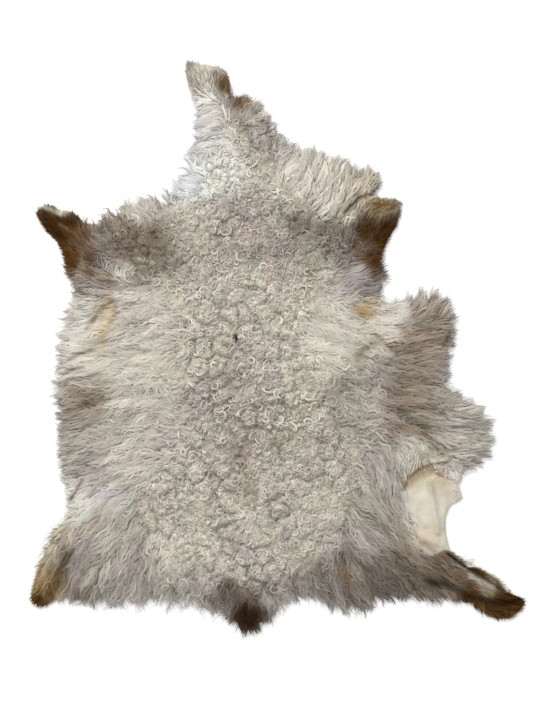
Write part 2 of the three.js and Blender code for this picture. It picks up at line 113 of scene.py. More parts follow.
# at, x, y, reach, comb, curl (0 is straight, 1 is ringlets, past these its neighbours are drawn along),
# length, cover of wool, tone, tone of the tips
PLACES = [
    Place("neck end", -125, 470, 24, 100, 0.0, 13, 1, DOVE, IVORY),
    Place("neck end, left corner", -152, 482, 10, 130, 0.0, 10, 1, TAUPE, TAUPE),
    Place("neck end, right side", -87, 455, 12, 50, 0.0, 13, 1, SEPIA, BARK),
    Place("throat", -124, 400, 22, 200, 0.1, 30, 1, CREAM, PEARL),
    Place("throat, low", -118, 345, 26, 190, 0.3, 36, 1, DOVE, PEARL),
    Place("nape tuft", -62, 418, 12, 45, 0.4, 22, 1, SEPIA, SEPIA),
    Place("nape", -34, 372, 34, 35, 0.5, 32, 1, TAUPE, CREAM),
    Place("neck", -88, 300, 38, 120, 0.7, 36, 1, PEARL, IVORY),
    Place("nape, low", -34, 326, 26, 60, 0.6, 34, 1, TAUPE, DOVE),
    Place("neck, left side", -150, 285, 26, 170, 0.1, 42, 1, PEARL, PEARL),
    Place("withers", -60, 200, 75, 90, 0.9, 37, 1, TAUPE, DOVE),

    Place("withers, left", -130, 216, 26, 120, 0.8, 36, 1, DOVE, CREAM),
    Place("right shoulder, inner", 24, 296, 28, 70, 0.35, 46, 1, DOVE, CREAM),
    Place("right shoulder", 84, 300, 38, 70, 0.05, 54, 1, TAUPE, IVORY),
    Place("shoulder flap", 146, 276, 22, 58, 0.05, 36, 1, FAWN, CREAM),
    Place("right shoulder, smoke", 108, 176, 40, 40, 0.6, 40, 1, SMOKE, TAUPE),
    Place("right shoulder, outer", 140, 128, 26, 20, 0.2, 42, 1, LILAC, LILAC),
    Place("right shoulder, below the flap", 84, 250, 24, 60, 0.2, 42, 1, DOVE, CREAM),
    Place("right shoulder, smoky curls", 32, 206, 18, 60, 0.8, 38, 1, SMOKE, TAUPE),
    Place("right shoulder, pale hollow", 88, 134, 18, 20, 0.5, 40, 1, DOVE, CREAM),
    Place("right foreleg", 190, 202, 16, 75, 0.0, 15, 1, UMBER, BARK),
    Place("right foreleg, inner side", 150, 200, 22, 70, 0.0, 15, 1, UMBER, BARK),
    Place("right foreleg, rolled side", 170, 240, 15, 30, 0.0, 12, 1, TAN, FAWN),
    Place("right foreleg, middle", 177, 184, 16, 62, 0.0, 16, 1, UMBER, BARK),
    Place("right foreleg, pale side", 122, 228, 12, 55, 0.0, 20, 1, FAWN, CREAM),
    Place("right foreleg, root", 163, 150, 22, 40, 0.0, 22, 1, UMBER, BARK),
    Place("right armpit", 154, 66, 13, -10, 0.05, 28, 1, FAWN, STRAW),

    Place("right belly", 82, 12, 48, -20, 0.25, 44, 1, CREAM, IVORY),
    Place("right wing, inner", 188, 46, 22, 5, 0.1, 44, 1, CREAM, IVORY),
    Place("right wing, pale top", 214, 68, 14, 40, 0.1, 40, 1, CREAM, WHITE),
    Place("right wing, crest", 246, 66, 27, 46, 0.15, 44, 1, SEPIA, DOVE),
    Place("right wing", 250, 12, 32, 12, 0.1, 52, 1, SEPIA, TAUPE),
    Place("right flank", 232, -72, 44, -8, 0.15, 54, 1, SEPIA, TAUPE),
    Place("right flank, outer", 276, -66, 20, -8, 0.1, 50, 1, TAUPE, DOVE),
    Place("right flank, inner", 138, -80, 48, -22, 0.45, 46, 1, TAUPE, DOVE),
    Place("flank lobe", 322, -138, 32, -6, 0.0, 50, 1, TAUPE, CREAM),

    Place("groin, hair fan", 222, -183, 16, -108, -0.4, 15, 1, CREAM, IVORY),
    Place("groin, hair fan, right", 256, -172, 13, -58, -0.4, 15, 1, CREAM, CREAM),
    Place("groin wall", 180, -262, 26, -62, -0.2, 46, 1, TAUPE, CREAM),
    Place("groin, curly patch, outer", 298, -214, 10, -40, 2.0, 20, 1.4, CREAM, WHITE),
    Place("groin wall, upper", 176, -212, 24, -80, -0.5, 34, 1, TAUPE, CREAM),
    Place("bare groin, top", 262, -214, 13, -30, 0.0, 16, 0, STRAW, IVORY),
    Place("bare groin, under the arch", 234, -226, 14, -60, 0.0, 14, 0, IVORY, IVORY),
    Place("bare groin, right of the arch", 292, -232, 10, -60, 0.0, 14, 0, IVORY, IVORY),
    Place("bare groin", 256, -262, 30, -70, 0.0, 16, 0, IVORY, IVORY),
    Place("bare groin, foot", 274, -322, 24, -70, 0.0, 16, 0, IVORY, IVORY),
    Place("bare groin, lobe", 308, -250, 12, -10, 0.0, 14, 0.7, IVORY, IVORY),
    Place("groin, brown foot", 284, -352, 13, -50, 0.0, 24, 1, SEPIA, BARK),
    Place("groin, curly patch", 274, -204, 12, -60, 2.0, 24, 1.4, CREAM, WHITE),

    Place("right thigh", 262, -388, 28, -34, 0.1, 48, 1, SMOKE, SEPIA),
    Place("right hind leg, upper side", 340, -378, 11, -28, 0.0, 14, 1, BARK, BARK),
    Place("right hind leg, thin edge", 330, -365, 6, -28, 0.0, 8, 0, IVORY, WHITE),
    Place("right hind leg, middle", 354, -408, 11, -28, 0.0, 16, 1, SEPIA, FAWN),
    Place("right hind leg, end", 396, -440, 20, -20, 0.0, 16, 1, UMBER, TAN),
    Place("right hind leg, root", 298, -376, 13, -32, 0.0, 30, 1, SMOKE, SMOKE),
    Place("right hind leg, heel", 332, -432, 14, -40, 0.0, 24, 1, BARK, BARK),

    Place("right rump", 104, -388, 36, -66, 0.3, 56, 1, SMOKE, TAUPE),
    Place("right rump, gold", 112, -386, 16, -64, 0.2, 50, 1, TAN, STRAW),
    Place("right rump, upper", 152, -290, 38, -38, 0.15, 52, 1, TAUPE, DOVE),
    Place("right rump, outer", 196, -384, 32, -44, 0.25, 52, 1, SMOKE, SMOKE),
    Place("right of the tail", -16, -416, 14, -75, 0.35, 42, 1, TAUPE, CREAM),
    Place("right of the tail, outer", 22, -408, 14, -72, 0.4, 42, 1, TAUPE, TAUPE),
    Place("tail", -52, -456, 21, -88, 0.1, 30, 1, UMBER, UMBER),
    Place("left of the tail", -86, -408, 18, -100, 0.3, 42, 1, SMOKE, SMOKE),

    Place("loin", -62, -288, 80, -90, 0.95, 38, 1, DOVE, CREAM),
    Place("loin, low left", -120, -336, 26, -100, 0.75, 42, 1, CREAM, IVORY),
    Place("loin, right", 60, -250, 60, -50, 0.85, 38, 1, DOVE, CREAM),
    Place("loin, right low", 66, -318, 24, -62, 0.5, 44, 1, DOVE, CREAM),
    Place("loin, left", -178, -270, 46, -130, 0.8, 40, 1, DOVE, CREAM),
    Place("back, low", -46, -112, 60, -90, 1.0, 37, 1, TAUPE, CREAM),
    Place("back", -76, 60, 70, 200, 0.9, 37, 1, DOVE, CREAM),
    Place("back, nick", -71, 20, 4.5, 270, 0.5, 20, 0.3, UMBER, UMBER),
    Place("back, right", 40, -50, 50, -30, 0.85, 38, 1, DOVE, CREAM),

    Place("left rump", -250, -368, 55, -112, 0.3, 56, 1, TAUPE, CREAM),
    Place("left rump, pale middle", -190, -330, 30, -108, 0.55, 48, 1, CREAM, IVORY),
    Place("left rump, inner", -156, -385, 42, -98, 0.5, 50, 1, DOVE, CREAM),
    Place("left rump, outer", -330, -375, 30, -122, 0.15, 50, 1, SMOKE, DOVE),
    Place("left hind leg", -400, -402, 22, -108, 0.0, 18, 1, TAN, STRAW),
    Place("left hind leg, end", -408, -430, 12, -110, 0.0, 13, 1, UMBER, TAN),
    Place("left thigh", -372, -330, 18, -118, 0.05, 30, 1, FAWN, CREAM),
    Place("left groin", -338, -264, 20, 205, 0.1, 24, 0.8, IVORY, WHITE),

    Place("left flank, foot", -335, -176, 24, 192, 0.1, 40, 1, TAUPE, DOVE),
    Place("left flank, smooth", -240, -182, 36, 198, 0.12, 48, 1, DOVE, IVORY),
    Place("left rump, upper", -282, -296, 36, -132, 0.1, 52, 1, TAUPE, CREAM),
    Place("left flank, low", -330, -92, 27, 188, 0.1, 50, 1, SEPIA, TAUPE),
    Place("left flank", -338, -10, 44, 188, 0.1, 50, 1, CREAM, CREAM),
    Place("left armpit", -316, 76, 14, 200, 0.05, 28, 1, DOVE, CREAM),
    Place("left belly", -218, 45, 55, 190, 0.3, 44, 1, DOVE, IVORY),
    Place("left belly, low", -218, -120, 60, 190, 0.4, 42, 1, DOVE, CREAM),

    Place("left belly, middle", -236, -22, 30, 190, 0.3, 44, 1, CREAM, IVORY),
    Place("left shoulder, smoke", -236, 176, 44, 125, 0.6, 40, 1, SMOKE, SEPIA),
    Place("left shoulder, edge", -232, 234, 22, 122, 0.35, 40, 1, DOVE, CREAM),
    Place("left shoulder, outer", -300, 150, 28, 150, 0.3, 38, 1, SMOKE, DOVE),
    Place("left shoulder, by the leg", -320, 158, 17, 150, 0.2, 34, 1, SEPIA, SEPIA),
    Place("left foreleg, lower root", -336, 186, 12, 130, 0.05, 24, 1, BARK, BARK),
    Place("left shoulder, pale slope", -262, 134, 18, 160, 0.4, 40, 1, DOVE, CREAM),
    Place("left foreleg", -374, 206, 26, 125, 0.0, 15, 1, UMBER, BARK),
    Place("left foreleg, rolled side", -366, 236, 8, 150, 0.0, 10, 1, FAWN, IVORY),
    Place("left foreleg, root", -350, 156, 16, 140, 0.0, 22, 1, BARK, BARK),
]


@dataclass(frozen=True)
class Fold:
    """A ridge of the bare skin, in millimetres."""

    at: str
    start: tuple[float, float]
    end: tuple[float, float]
    width: float
    rise: float


@dataclass(frozen=True)
class Mark:
    """A shadow, a streak or a stain along a bent line, in millimetres."""

    at: str
    line: tuple[tuple[float, float], ...]
    width: float
    share: float
    tone: Tone


# at, line, width, share of the wool's own tone that it hides, tone
MARKS = [
    # Painted shadow under the shoulder flap's fold.
    Mark("shoulder flap, under its fold", ((114, 233), (136, 258), (160, 265), (172, 277)), 3.5, 0.8, UMBER),
    Mark("right shoulder, dark crest", ((20, 222), (72, 212), (106, 196), (140, 164)), 9, 0.45, SMOKE),
    Mark("right foreleg, tangled root", ((128, 180), (140, 158), (158, 140), (166, 120)), 8, 0.6, BARK),
    # Painted shadow under the right foreleg's rolled side.
    Mark("right foreleg, under its rolled side",
         ((134, 219), (153, 230), (180, 236), (206, 245)), 3, 0.2, BARK),
    Mark("right armpit, stain", ((134, 69), (144, 64), (152, 57)), 6, 0.75, OCHRE),
    # Painted shade: the dark lines between the right wing's waved locks, the shadow below its crest, and the
    # shade in its hollow and in the notch of its side.
    Mark("right wing, first wave", ((168, 24), (184, 8), (198, -3), (214, -8), (244, -2)), 4, 0.8, SEPIA),
    Mark("right wing, second wave", ((196, 12), (222, 6), (250, 12), (276, 16)), 3.5, 0.7, SEPIA),
    Mark("right wing, third wave", ((204, 38), (226, 24), (250, 30), (272, 36)), 3.5, 0.7, SEPIA),
    Mark("right wing, below the crest", ((236, 40), (250, 54), (268, 74)), 5, 0.5, SMOKE),
    Mark("right wing, hollow", ((134, -20), (146, 0), (166, 10)), 6, 0.7, SEPIA),
    Mark("right wing, notch in its side", ((284, 8), (292, 28)), 4, 0.8, BARK),
    # Painted shade: dark lines between the locks of the right flank.
    Mark("right flank, low line", ((178, -66), (202, -80), (228, -76), (262, -72)), 4.5, 0.7, SEPIA),
    Mark("right flank, lower line", ((190, -96), (222, -104), (262, -100)), 4, 0.6, SEPIA),
    Mark("groin, shaded rim",
         ((190, -146), (206, -134), (230, -134), (256, -150), (280, -178)), 8, 0.7, SEPIA),
    # Painted shadow: the line where the wool meets the bare skin at the arch.
    Mark("groin, arch", ((214, -240), (222, -221), (238, -206), (262, -196), (288, -193)), 2.6, 0.85, BARK),
    Mark("groin, grey patch", ((206, -250), (228, -262)), 9, 0.3, LILAC),
    Mark("groin, yellow foot", ((238, -322), (270, -330)), 12, 0.4, STRAW),
    Mark("groin, strip by the edge", ((292, -250), (286, -290), (288, -330)), 5, 0.3, TAUPE),
    # Painted shade, ochre brown, under the arch's fold.
    Mark("groin, under the arch", ((226, -230), (240, -216), (262, -208), (280, -214)), 10, 0.5, OCHRE),
    # Painted shade along the upright fold of the skin.
    Mark("groin, upright fold", ((258, -226), (267, -246), (272, -276), (281, -308)), 5, 0.35, TAUPE),
    Mark("groin, shade by the wall", ((200, -200), (206, -250), (222, -320)), 9, 0.35, TAUPE),
    Mark("right rump, dark line", ((140, -250), (160, -254), (184, -256)), 3.5, 0.45, SEPIA),
    Mark("right rump, brown streak", ((108, -350), (116, -392), (122, -420)), 7, 0.45, BARK),
    Mark("right rump, dark lower side",
         ((150, -394), (200, -400), (250, -398), (290, -404)), 12, 0.55, SMOKE),
    Mark("right hind leg, dark line", ((290, -350), (321, -372), (343, -384), (376, -408)), 2.8, 0.95, SOOT),
    Mark("right hind leg, thin skin edge",
         ((318, -359), (345, -372), (377, -391), (392, -412)), 2.6, 0.95, IVORY),
    Mark("right hind leg, outer dark line",
         ((300, -344), (330, -357), (368, -378), (398, -404)), 2.4, 0.7, UMBER),
    # Painted shadow, brownish, at the foot of the groin wall.
    Mark("groin wall, brown foot", ((176, -300), (198, -328), (236, -352)), 11, 0.45, SEPIA),
    Mark("groin, brown strokes at its foot", ((250, -332), (274, -352)), 5, 0.55, TAN),
    Mark("right hind leg, dark patch", ((288, -382), (314, -390), (338, -410)), 9, 0.5, BARK),
    Mark("right hind leg, pale tuft", ((328, -386), (348, -398), (366, -407)), 5, 0.75, CREAM),
    Mark("tail, dark root", ((-112, -432), (-84, -418), (-46, -410)), 16, 0.8, SMOKE),
    Mark("tail, brown root", ((-66, -430), (-40, -424)), 8, 0.4, BARK),
    # Painted shade in the gaps between locks of the left rump.
    Mark("left rump, dark gap", ((-300, -344), (-312, -368), (-328, -392)), 4, 0.45, SMOKE),
    Mark("left rump, brown gap", ((-252, -366), (-262, -394), (-272, -420)), 5, 0.4, SEPIA),
    Mark("left rump, lilac rim", ((-262, -392), (-215, -408), (-130, -412)), 16, 0.4, LILAC),
    Mark("left rump, white band", ((-282, -236), (-316, -277), (-350, -300)), 9, 0.5, WHITE),
    Mark("left rump, pale band", ((-289, -316), (-309, -359), (-326, -401)), 7, 0.5, IVORY),
    Mark("left rump, lilac band", ((-318, -330), (-338, -356), (-346, -420)), 8, 0.5, LILAC),
    Mark("left rump, dark foot", ((-356, -396), (-344, -424), (-318, -430)), 9, 0.55, SEPIA),
    # Painted shade in more gaps between locks of the left rump.
    Mark("left rump, first gap", ((-232, -330), (-240, -352), (-252, -376)), 3, 0.4, SEPIA),
    Mark("left rump, second gap", ((-208, -356), (-214, -384), (-216, -412)), 3, 0.4, SEPIA),
    Mark("left rump, third gap", ((-182, -366), (-184, -392), (-176, -418)), 3, 0.4, SMOKE),
    Mark("left rump, fourth gap", ((-142, -372), (-146, -396), (-140, -424)), 4, 0.5, SMOKE),
    Mark("right hind leg, dark underside",
         ((258, -396), (289, -401), (326, -422), (369, -432), (412, -430)), 9, 0.75, SOOT),
    Mark("left armpit, upper edge", ((-362, 110), (-330, 96), (-292, 88)), 7, 0.5, SEPIA),
    # Painted shadow along the right arm of the V-shaped fork in the armpit's wool.
    Mark("left armpit, right arm of the fork", ((-280, 82), (-276, 62), (-288, 38)), 4, 0.7, TAN),
    Mark("left armpit, yellow band", ((-288, 70), (-294, 44), (-300, 8)), 11, 0.6, STRAW),
    # Painted shadow along the left arm of that fork.
    Mark("left armpit, left arm of the fork", ((-284, 82), (-306, 62), (-326, 34)), 5, 0.7, TAN),
    Mark("left armpit, white streaks", ((-356, 72), (-330, 44), (-352, 8)), 9, 0.5, WHITE),
    Mark("left shoulder, crest", ((-258, 186), (-236, 172), (-204, 158)), 9, 0.5, SMOKE),
    Mark("left shoulder, dark band by the leg", ((-334, 186), (-316, 166), (-262, 168)), 12, 0.7, SMOKE),
    Mark("left shoulder, lower dark tuft", ((-332, 132), (-304, 124), (-284, 112)), 9, 0.6, SEPIA),
    Mark("left shoulder, pale tuft", ((-236, 154), (-214, 146)), 4, 0.5, CREAM),
    Mark("left foreleg, lower stain", ((-368, 178), (-358, 152), (-352, 128)), 9, 0.7, BARK),
    # Partly the rolled side's paler hair, partly a painted highlight on its lit top.
    Mark("left foreleg, pale rolled side", ((-402, 243), (-386, 238), (-372, 231)), 4, 0.6, IVORY),
    Mark("left foreleg, pale streaks", ((-372, 212), (-350, 200), (-336, 182)), 4, 0.2, FAWN),
    Mark("left flank, brown crest", ((-360, -66), (-326, -78), (-292, -60)), 8, 0.4, SEPIA),
    Mark("left flank, brown line", ((-356, -92), (-322, -96), (-290, -84)), 4, 0.45, SEPIA),
    Mark("left groin, line", ((-354, -258), (-334, -224)), 3, 0.7, BARK),
    # Painted shade, brownish, in a parting of the left thigh's wool.
    Mark("left thigh, brown patch", ((-344, -316), (-300, -286)), 12, 0.4, SEPIA),
    Mark("left hind leg, brown band", ((-390, -420), (-374, -384), (-358, -350)), 10, 0.7, BARK),
    Mark("left hind leg, pale side", ((-412, -404), (-390, -360), (-374, -336)), 5, 0.6, FAWN),
    Mark("withers, lilac band", ((-88, 168), (-30, 164), (18, 170)), 14, 0.35, SMOKE),
    Mark("right shoulder, pale curls", ((46, 172), (64, 166)), 12, 0.4, CREAM),
    Mark("left shoulder, lilac spots", ((-170, 150), (-158, 124)), 14, 0.35, SMOKE),
    Mark("back, right grey band", ((48, -92), (92, -72), (152, -60)), 14, 0.25, SMOKE),
    Mark("left rump, white slope", ((-300, -246), (-262, -262)), 14, 0.4, PEARL),
    Mark("left foreleg, brown side", ((-346, 198), (-324, 174), (-318, 134)), 12, 0.55, BARK),
    # Painted shade, brownish, along the groin wall.
    Mark("groin wall, brown side", ((178, -250), (196, -286), (214, -320)), 9, 0.4, SEPIA),
    Mark("groin, wrinkled top", ((240, -236), (262, -232), (290, -236)), 9, 0.3, FAWN),
    Mark("back, pale right", ((24, -4), (48, -30)), 14, 0.4, IVORY),
    Mark("back, grey spine", ((-86, 6), (-50, -2)), 12, 0.35, SMOKE),
    Mark("back, nick", ((-73, 24), (-70, 14)), 3.2, 0.95, UMBER),
    # Painted shade in a small hollow of the back.
    Mark("back, small hollow", ((-84, -136), (-74, -146)), 3.5, 0.7, SMOKE),
    # Painted shade: dark lines between the big locks of the left flank.
    Mark("left flank, first wave", ((-357, -19), (-338, -8), (-313, -2)), 3.2, 0.8, SEPIA),
    Mark("left flank, second wave", ((-368, -44), (-350, -34), (-332, -31)), 3.2, 0.8, SEPIA),
    Mark("left flank, third wave", ((-360, -52), (-336, -50), (-300, -40)), 3.2, 0.8, SEPIA),
    Mark("left flank, fourth wave", ((-374, -96), (-344, -99), (-316, -86)), 3.4, 0.7, SEPIA),
    # Painted shade in a lower hollow of the back, where the curls shade each other.
    Mark("back, lower hollow", ((-66, -170), (-58, -205), (-48, -246)), 17, 0.45, SEPIA),
    Mark("back, brown line", ((-48, -90), (-34, -104), (-26, -92)), 2.5, 0.6, BARK),
    Mark("neck, lilac line", ((-62, 330), (-50, 300), (-58, 262)), 12, 0.45, LILAC),
    Mark("neck end, brown lower left", ((-152, 458), (-136, 446)), 9, 0.45, SEPIA),
    Mark("neck end, brown right side", ((-106, 472), (-100, 452), (-84, 436)), 8, 0.6, BARK),
    Mark("neck end, pale top", ((-142, 481), (-104, 477)), 4, 0.6, IVORY),
    Mark("nape, dark rim", ((-46, 408), (-22, 384), (-6, 352)), 8, 0.5, SMOKE),
    Mark("nape, dark lock", ((-70, 396), (-54, 376), (-44, 350)), 8, 0.5, SMOKE),
]

SKIN_FOLDS = [
    Fold("groin fold, rising", (213, -238), (236, -204), 6, 5),
    Fold("groin fold, across", (236, -204), (290, -191), 6, 3),
    Fold("groin fold, falling", (259, -226), (272, -312), 5, 5),
    Fold("groin fold, slanting", (214, -262), (250, -300), 6, 2.5),
    Fold("groin fold, low", (230, -316), (280, -334), 6, 3),
    Fold("groin scallop", (270, -221), (305, -226), 6, 2.5),
    Fold("right hind leg, rolled side", (322, -368), (392, -408), 8, 3),
    Fold("right foreleg, rolled side", (150, 252), (198, 246), 8, 3),
    Fold("left foreleg, rolled side", (-392, 238), (-345, 226), 8, 2.5),
    Fold("left hind leg, rolled side", (-412, -420), (-392, -350), 8, 2.5),
]


def smooth(low: float, high: float, value: np.ndarray) -> np.ndarray:
    """Rises smoothly from 0 at low to 1 at high."""
    t = np.clip((value - low) / (high - low), 0, 1)
    return t * t * (3 - 2 * t)


def between(values: np.ndarray, cell: np.ndarray, t: np.ndarray) -> np.ndarray:
    """Values at places between the points of a grid.

    Args:
        values: One value at each point of the grid.
        cell: Row and column of the grid's point below each place.
        t: How far each place lies past that point, from 0 to 1 both ways.

    Returns:
        One value for each place.
    """
    i, j = cell[..., 0], cell[..., 1]
    low = values[i, j] * (1 - t[..., 0]) + values[i + 1, j] * t[..., 0]
    high = values[i, j + 1] * (1 - t[..., 0]) + values[i + 1, j + 1] * t[..., 0]
    return low * (1 - t[..., 1]) + high * t[..., 1]


def wander(xy: np.ndarray, length: float, layer: int) -> np.ndarray:
    """A smooth random value from about -1 to 1 over the hide.

    Args:
        xy: Points in metres, two values each.
        length: Distance in metres over which the value changes.
        layer: Which of the unlike patterns to take.

    Returns:
        One value for each point, the same on every run.
    """
    lattice = np.random.default_rng(layer).uniform(-1, 1, (LATTICE, LATTICE))
    place = xy / length + LATTICE // 2
    cell = np.floor(place).astype(int)
    return between(lattice, cell % (LATTICE - 1), smooth(0, 1, place - cell))


def tree_of(points: np.ndarray) -> KDTree:
    """A search tree of flat points.

    Args:
        points: The points, two values each.

    Returns:
        The tree, which knows each point by its number.
    """
    tree = KDTree(len(points))
    for i, (x, y) in enumerate(points.tolist()):
        tree.insert((x, y, 0), i)
    tree.balance()
    return tree


def away(xy: np.ndarray, start: tuple[float, float], end: tuple[float, float]) -> np.ndarray:
    """How far points in metres are from a line between two points in millimetres.

    Args:
        xy: The points, two values each.
        start: One end of the line.
        end: Its other end.

    Returns:
        One distance in metres for each point.
    """
    a, b = np.array(start) * MM, np.array(end) * MM
    along = np.clip(((xy - a) @ (b - a)) / ((b - a) @ (b - a)), 0, 1)[:, None]
    return np.linalg.norm(xy - a - along * (b - a), axis=1)


def marked(xy: np.ndarray, tones: np.ndarray) -> np.ndarray:
    """Tones at points of the hide, with the named shadows, streaks and stains over them.

    Args:
        xy: The points in metres.
        tones: Their linear colours without the marks.

    Returns:
        Their linear colours with them.
    """
    for mark in MARKS:
        off = np.min([away(xy, a, b) for a, b in zip(mark.line, mark.line[1:])], axis=0)
        share = mark.share * np.exp(-((off / (mark.width * MM)) ** 2))[:, None]
        tones = tones * (1 - share) + mark.tone.linear() * share
    return tones


def heading(angle: np.ndarray) -> np.ndarray:
    """Unit vectors of angles in radians."""
    return np.stack([np.cos(angle), np.sin(angle)], axis=-1)


def within(points: np.ndarray, rim: np.ndarray) -> np.ndarray:
    """Whether each flat point lies inside a closed line.

    Args:
        points: The points, two values each.
        rim: The line's points in order.

    Returns:
        True for each point inside.
    """
    inside = np.zeros(len(points), bool)
    for (ax, ay), (bx, by) in zip(rim.tolist(), np.roll(rim, -1, axis=0).tolist()):
        if ay != by:
            rows = np.flatnonzero((ay > points[:, 1]) != (by > points[:, 1]))
            left = points[rows, 0] < (bx - ax) * (points[rows, 1] - ay) / (by - ay) + ax
            inside[rows[left]] ^= True
    return inside


def triangulated(points: np.ndarray, rim: int) -> np.ndarray:
    """Triangles of flat points whose first ones are the closed rim.

    Args:
        points: Flat points in metres.
        rim: How many of them, from the first on, are the rim in order.

    Returns:
        Three point numbers for each triangle inside the rim, facing up.
    """
    sides = [(i, (i + 1) % rim) for i in range(rim)]
    made = delaunay_2d_cdt([Vector(p) for p in points], sides, [], 0, TOUCHING, False)
    corners, faces = np.array([tuple(v) for v in made[0]]), np.array(made[2])
    if len(corners) != len(points):
        raise ValueError("two points of the hide lie on each other")
    faces = faces[within(corners[faces].mean(axis=1), points[:rim])]
    a, b, c = (corners[faces[:, k]] for k in range(3))
    turn = (b[:, 0] - a[:, 0]) * (c[:, 1] - a[:, 1]) - (b[:, 1] - a[:, 1]) * (c[:, 0] - a[:, 0])
    return np.where(turn[:, None] > 0, faces, faces[:, ::-1])


def mesh_object(name: str, points: np.ndarray, quads: np.ndarray, triangles: np.ndarray) -> bpy.types.Object:
    """A smooth-shaded mesh object at the origin.

    Args:
        name: The piece's name.
        points: Its points in metres.
        quads: Four point numbers for each four-sided face.
        triangles: Three point numbers for each three-sided face.

    Returns:
        The object, linked to the scene.
    """
    mesh = bpy.data.meshes.new(name)
    mesh.vertices.add(len(points))
    mesh.vertices.foreach_set("co", points.astype(np.float32).ravel())
    corners = np.concatenate([quads.ravel(), triangles.ravel()]).astype(np.int32)
    mesh.loops.add(len(corners))
    mesh.loops.foreach_set("vertex_index", corners)
    starts = np.concatenate([4 * np.arange(len(quads)), 4 * len(quads) + 3 * np.arange(len(triangles))])
    mesh.polygons.add(len(starts))
    mesh.polygons.foreach_set("loop_start", starts.astype(np.int32))
    mesh.update(calc_edges=True)
    mesh.shade_smooth()
    piece = bpy.data.objects.new(name, mesh)
    bpy.context.scene.collection.objects.link(piece)
    return piece


def paint(piece: bpy.types.Object, tones: np.ndarray, crisp: np.ndarray | None = None) -> None:
    """Stores a colour for each point as the attribute named tone.

    Args:
        piece: The object to paint.
        tones: A linear colour for each of its points.
        crisp: How much its streaks or rings show at each point, kept as alpha, or all of them.
    """
    layer = piece.data.color_attributes.new(name="tone", type="FLOAT_COLOR", domain="POINT")
    alpha = np.ones((len(tones), 1)) if crisp is None else crisp[:, None]
    rgba = np.concatenate([np.clip(tones, 0, BRIGHTEST), alpha], axis=1)
    layer.data.foreach_set("color", rgba.astype(np.float32).ravel())


@dataclass
class Groom:
    """How the wool grows at each of several points."""

    comb: np.ndarray
    curl: np.ndarray
    length: np.ndarray
    cover: np.ndarray
    tone: np.ndarray
    tip: np.ndarray

    def only(self, keep: np.ndarray) -> Groom:
        """The same for some of the points."""
        return Groom(*(values[keep] for values in vars(self).values()))


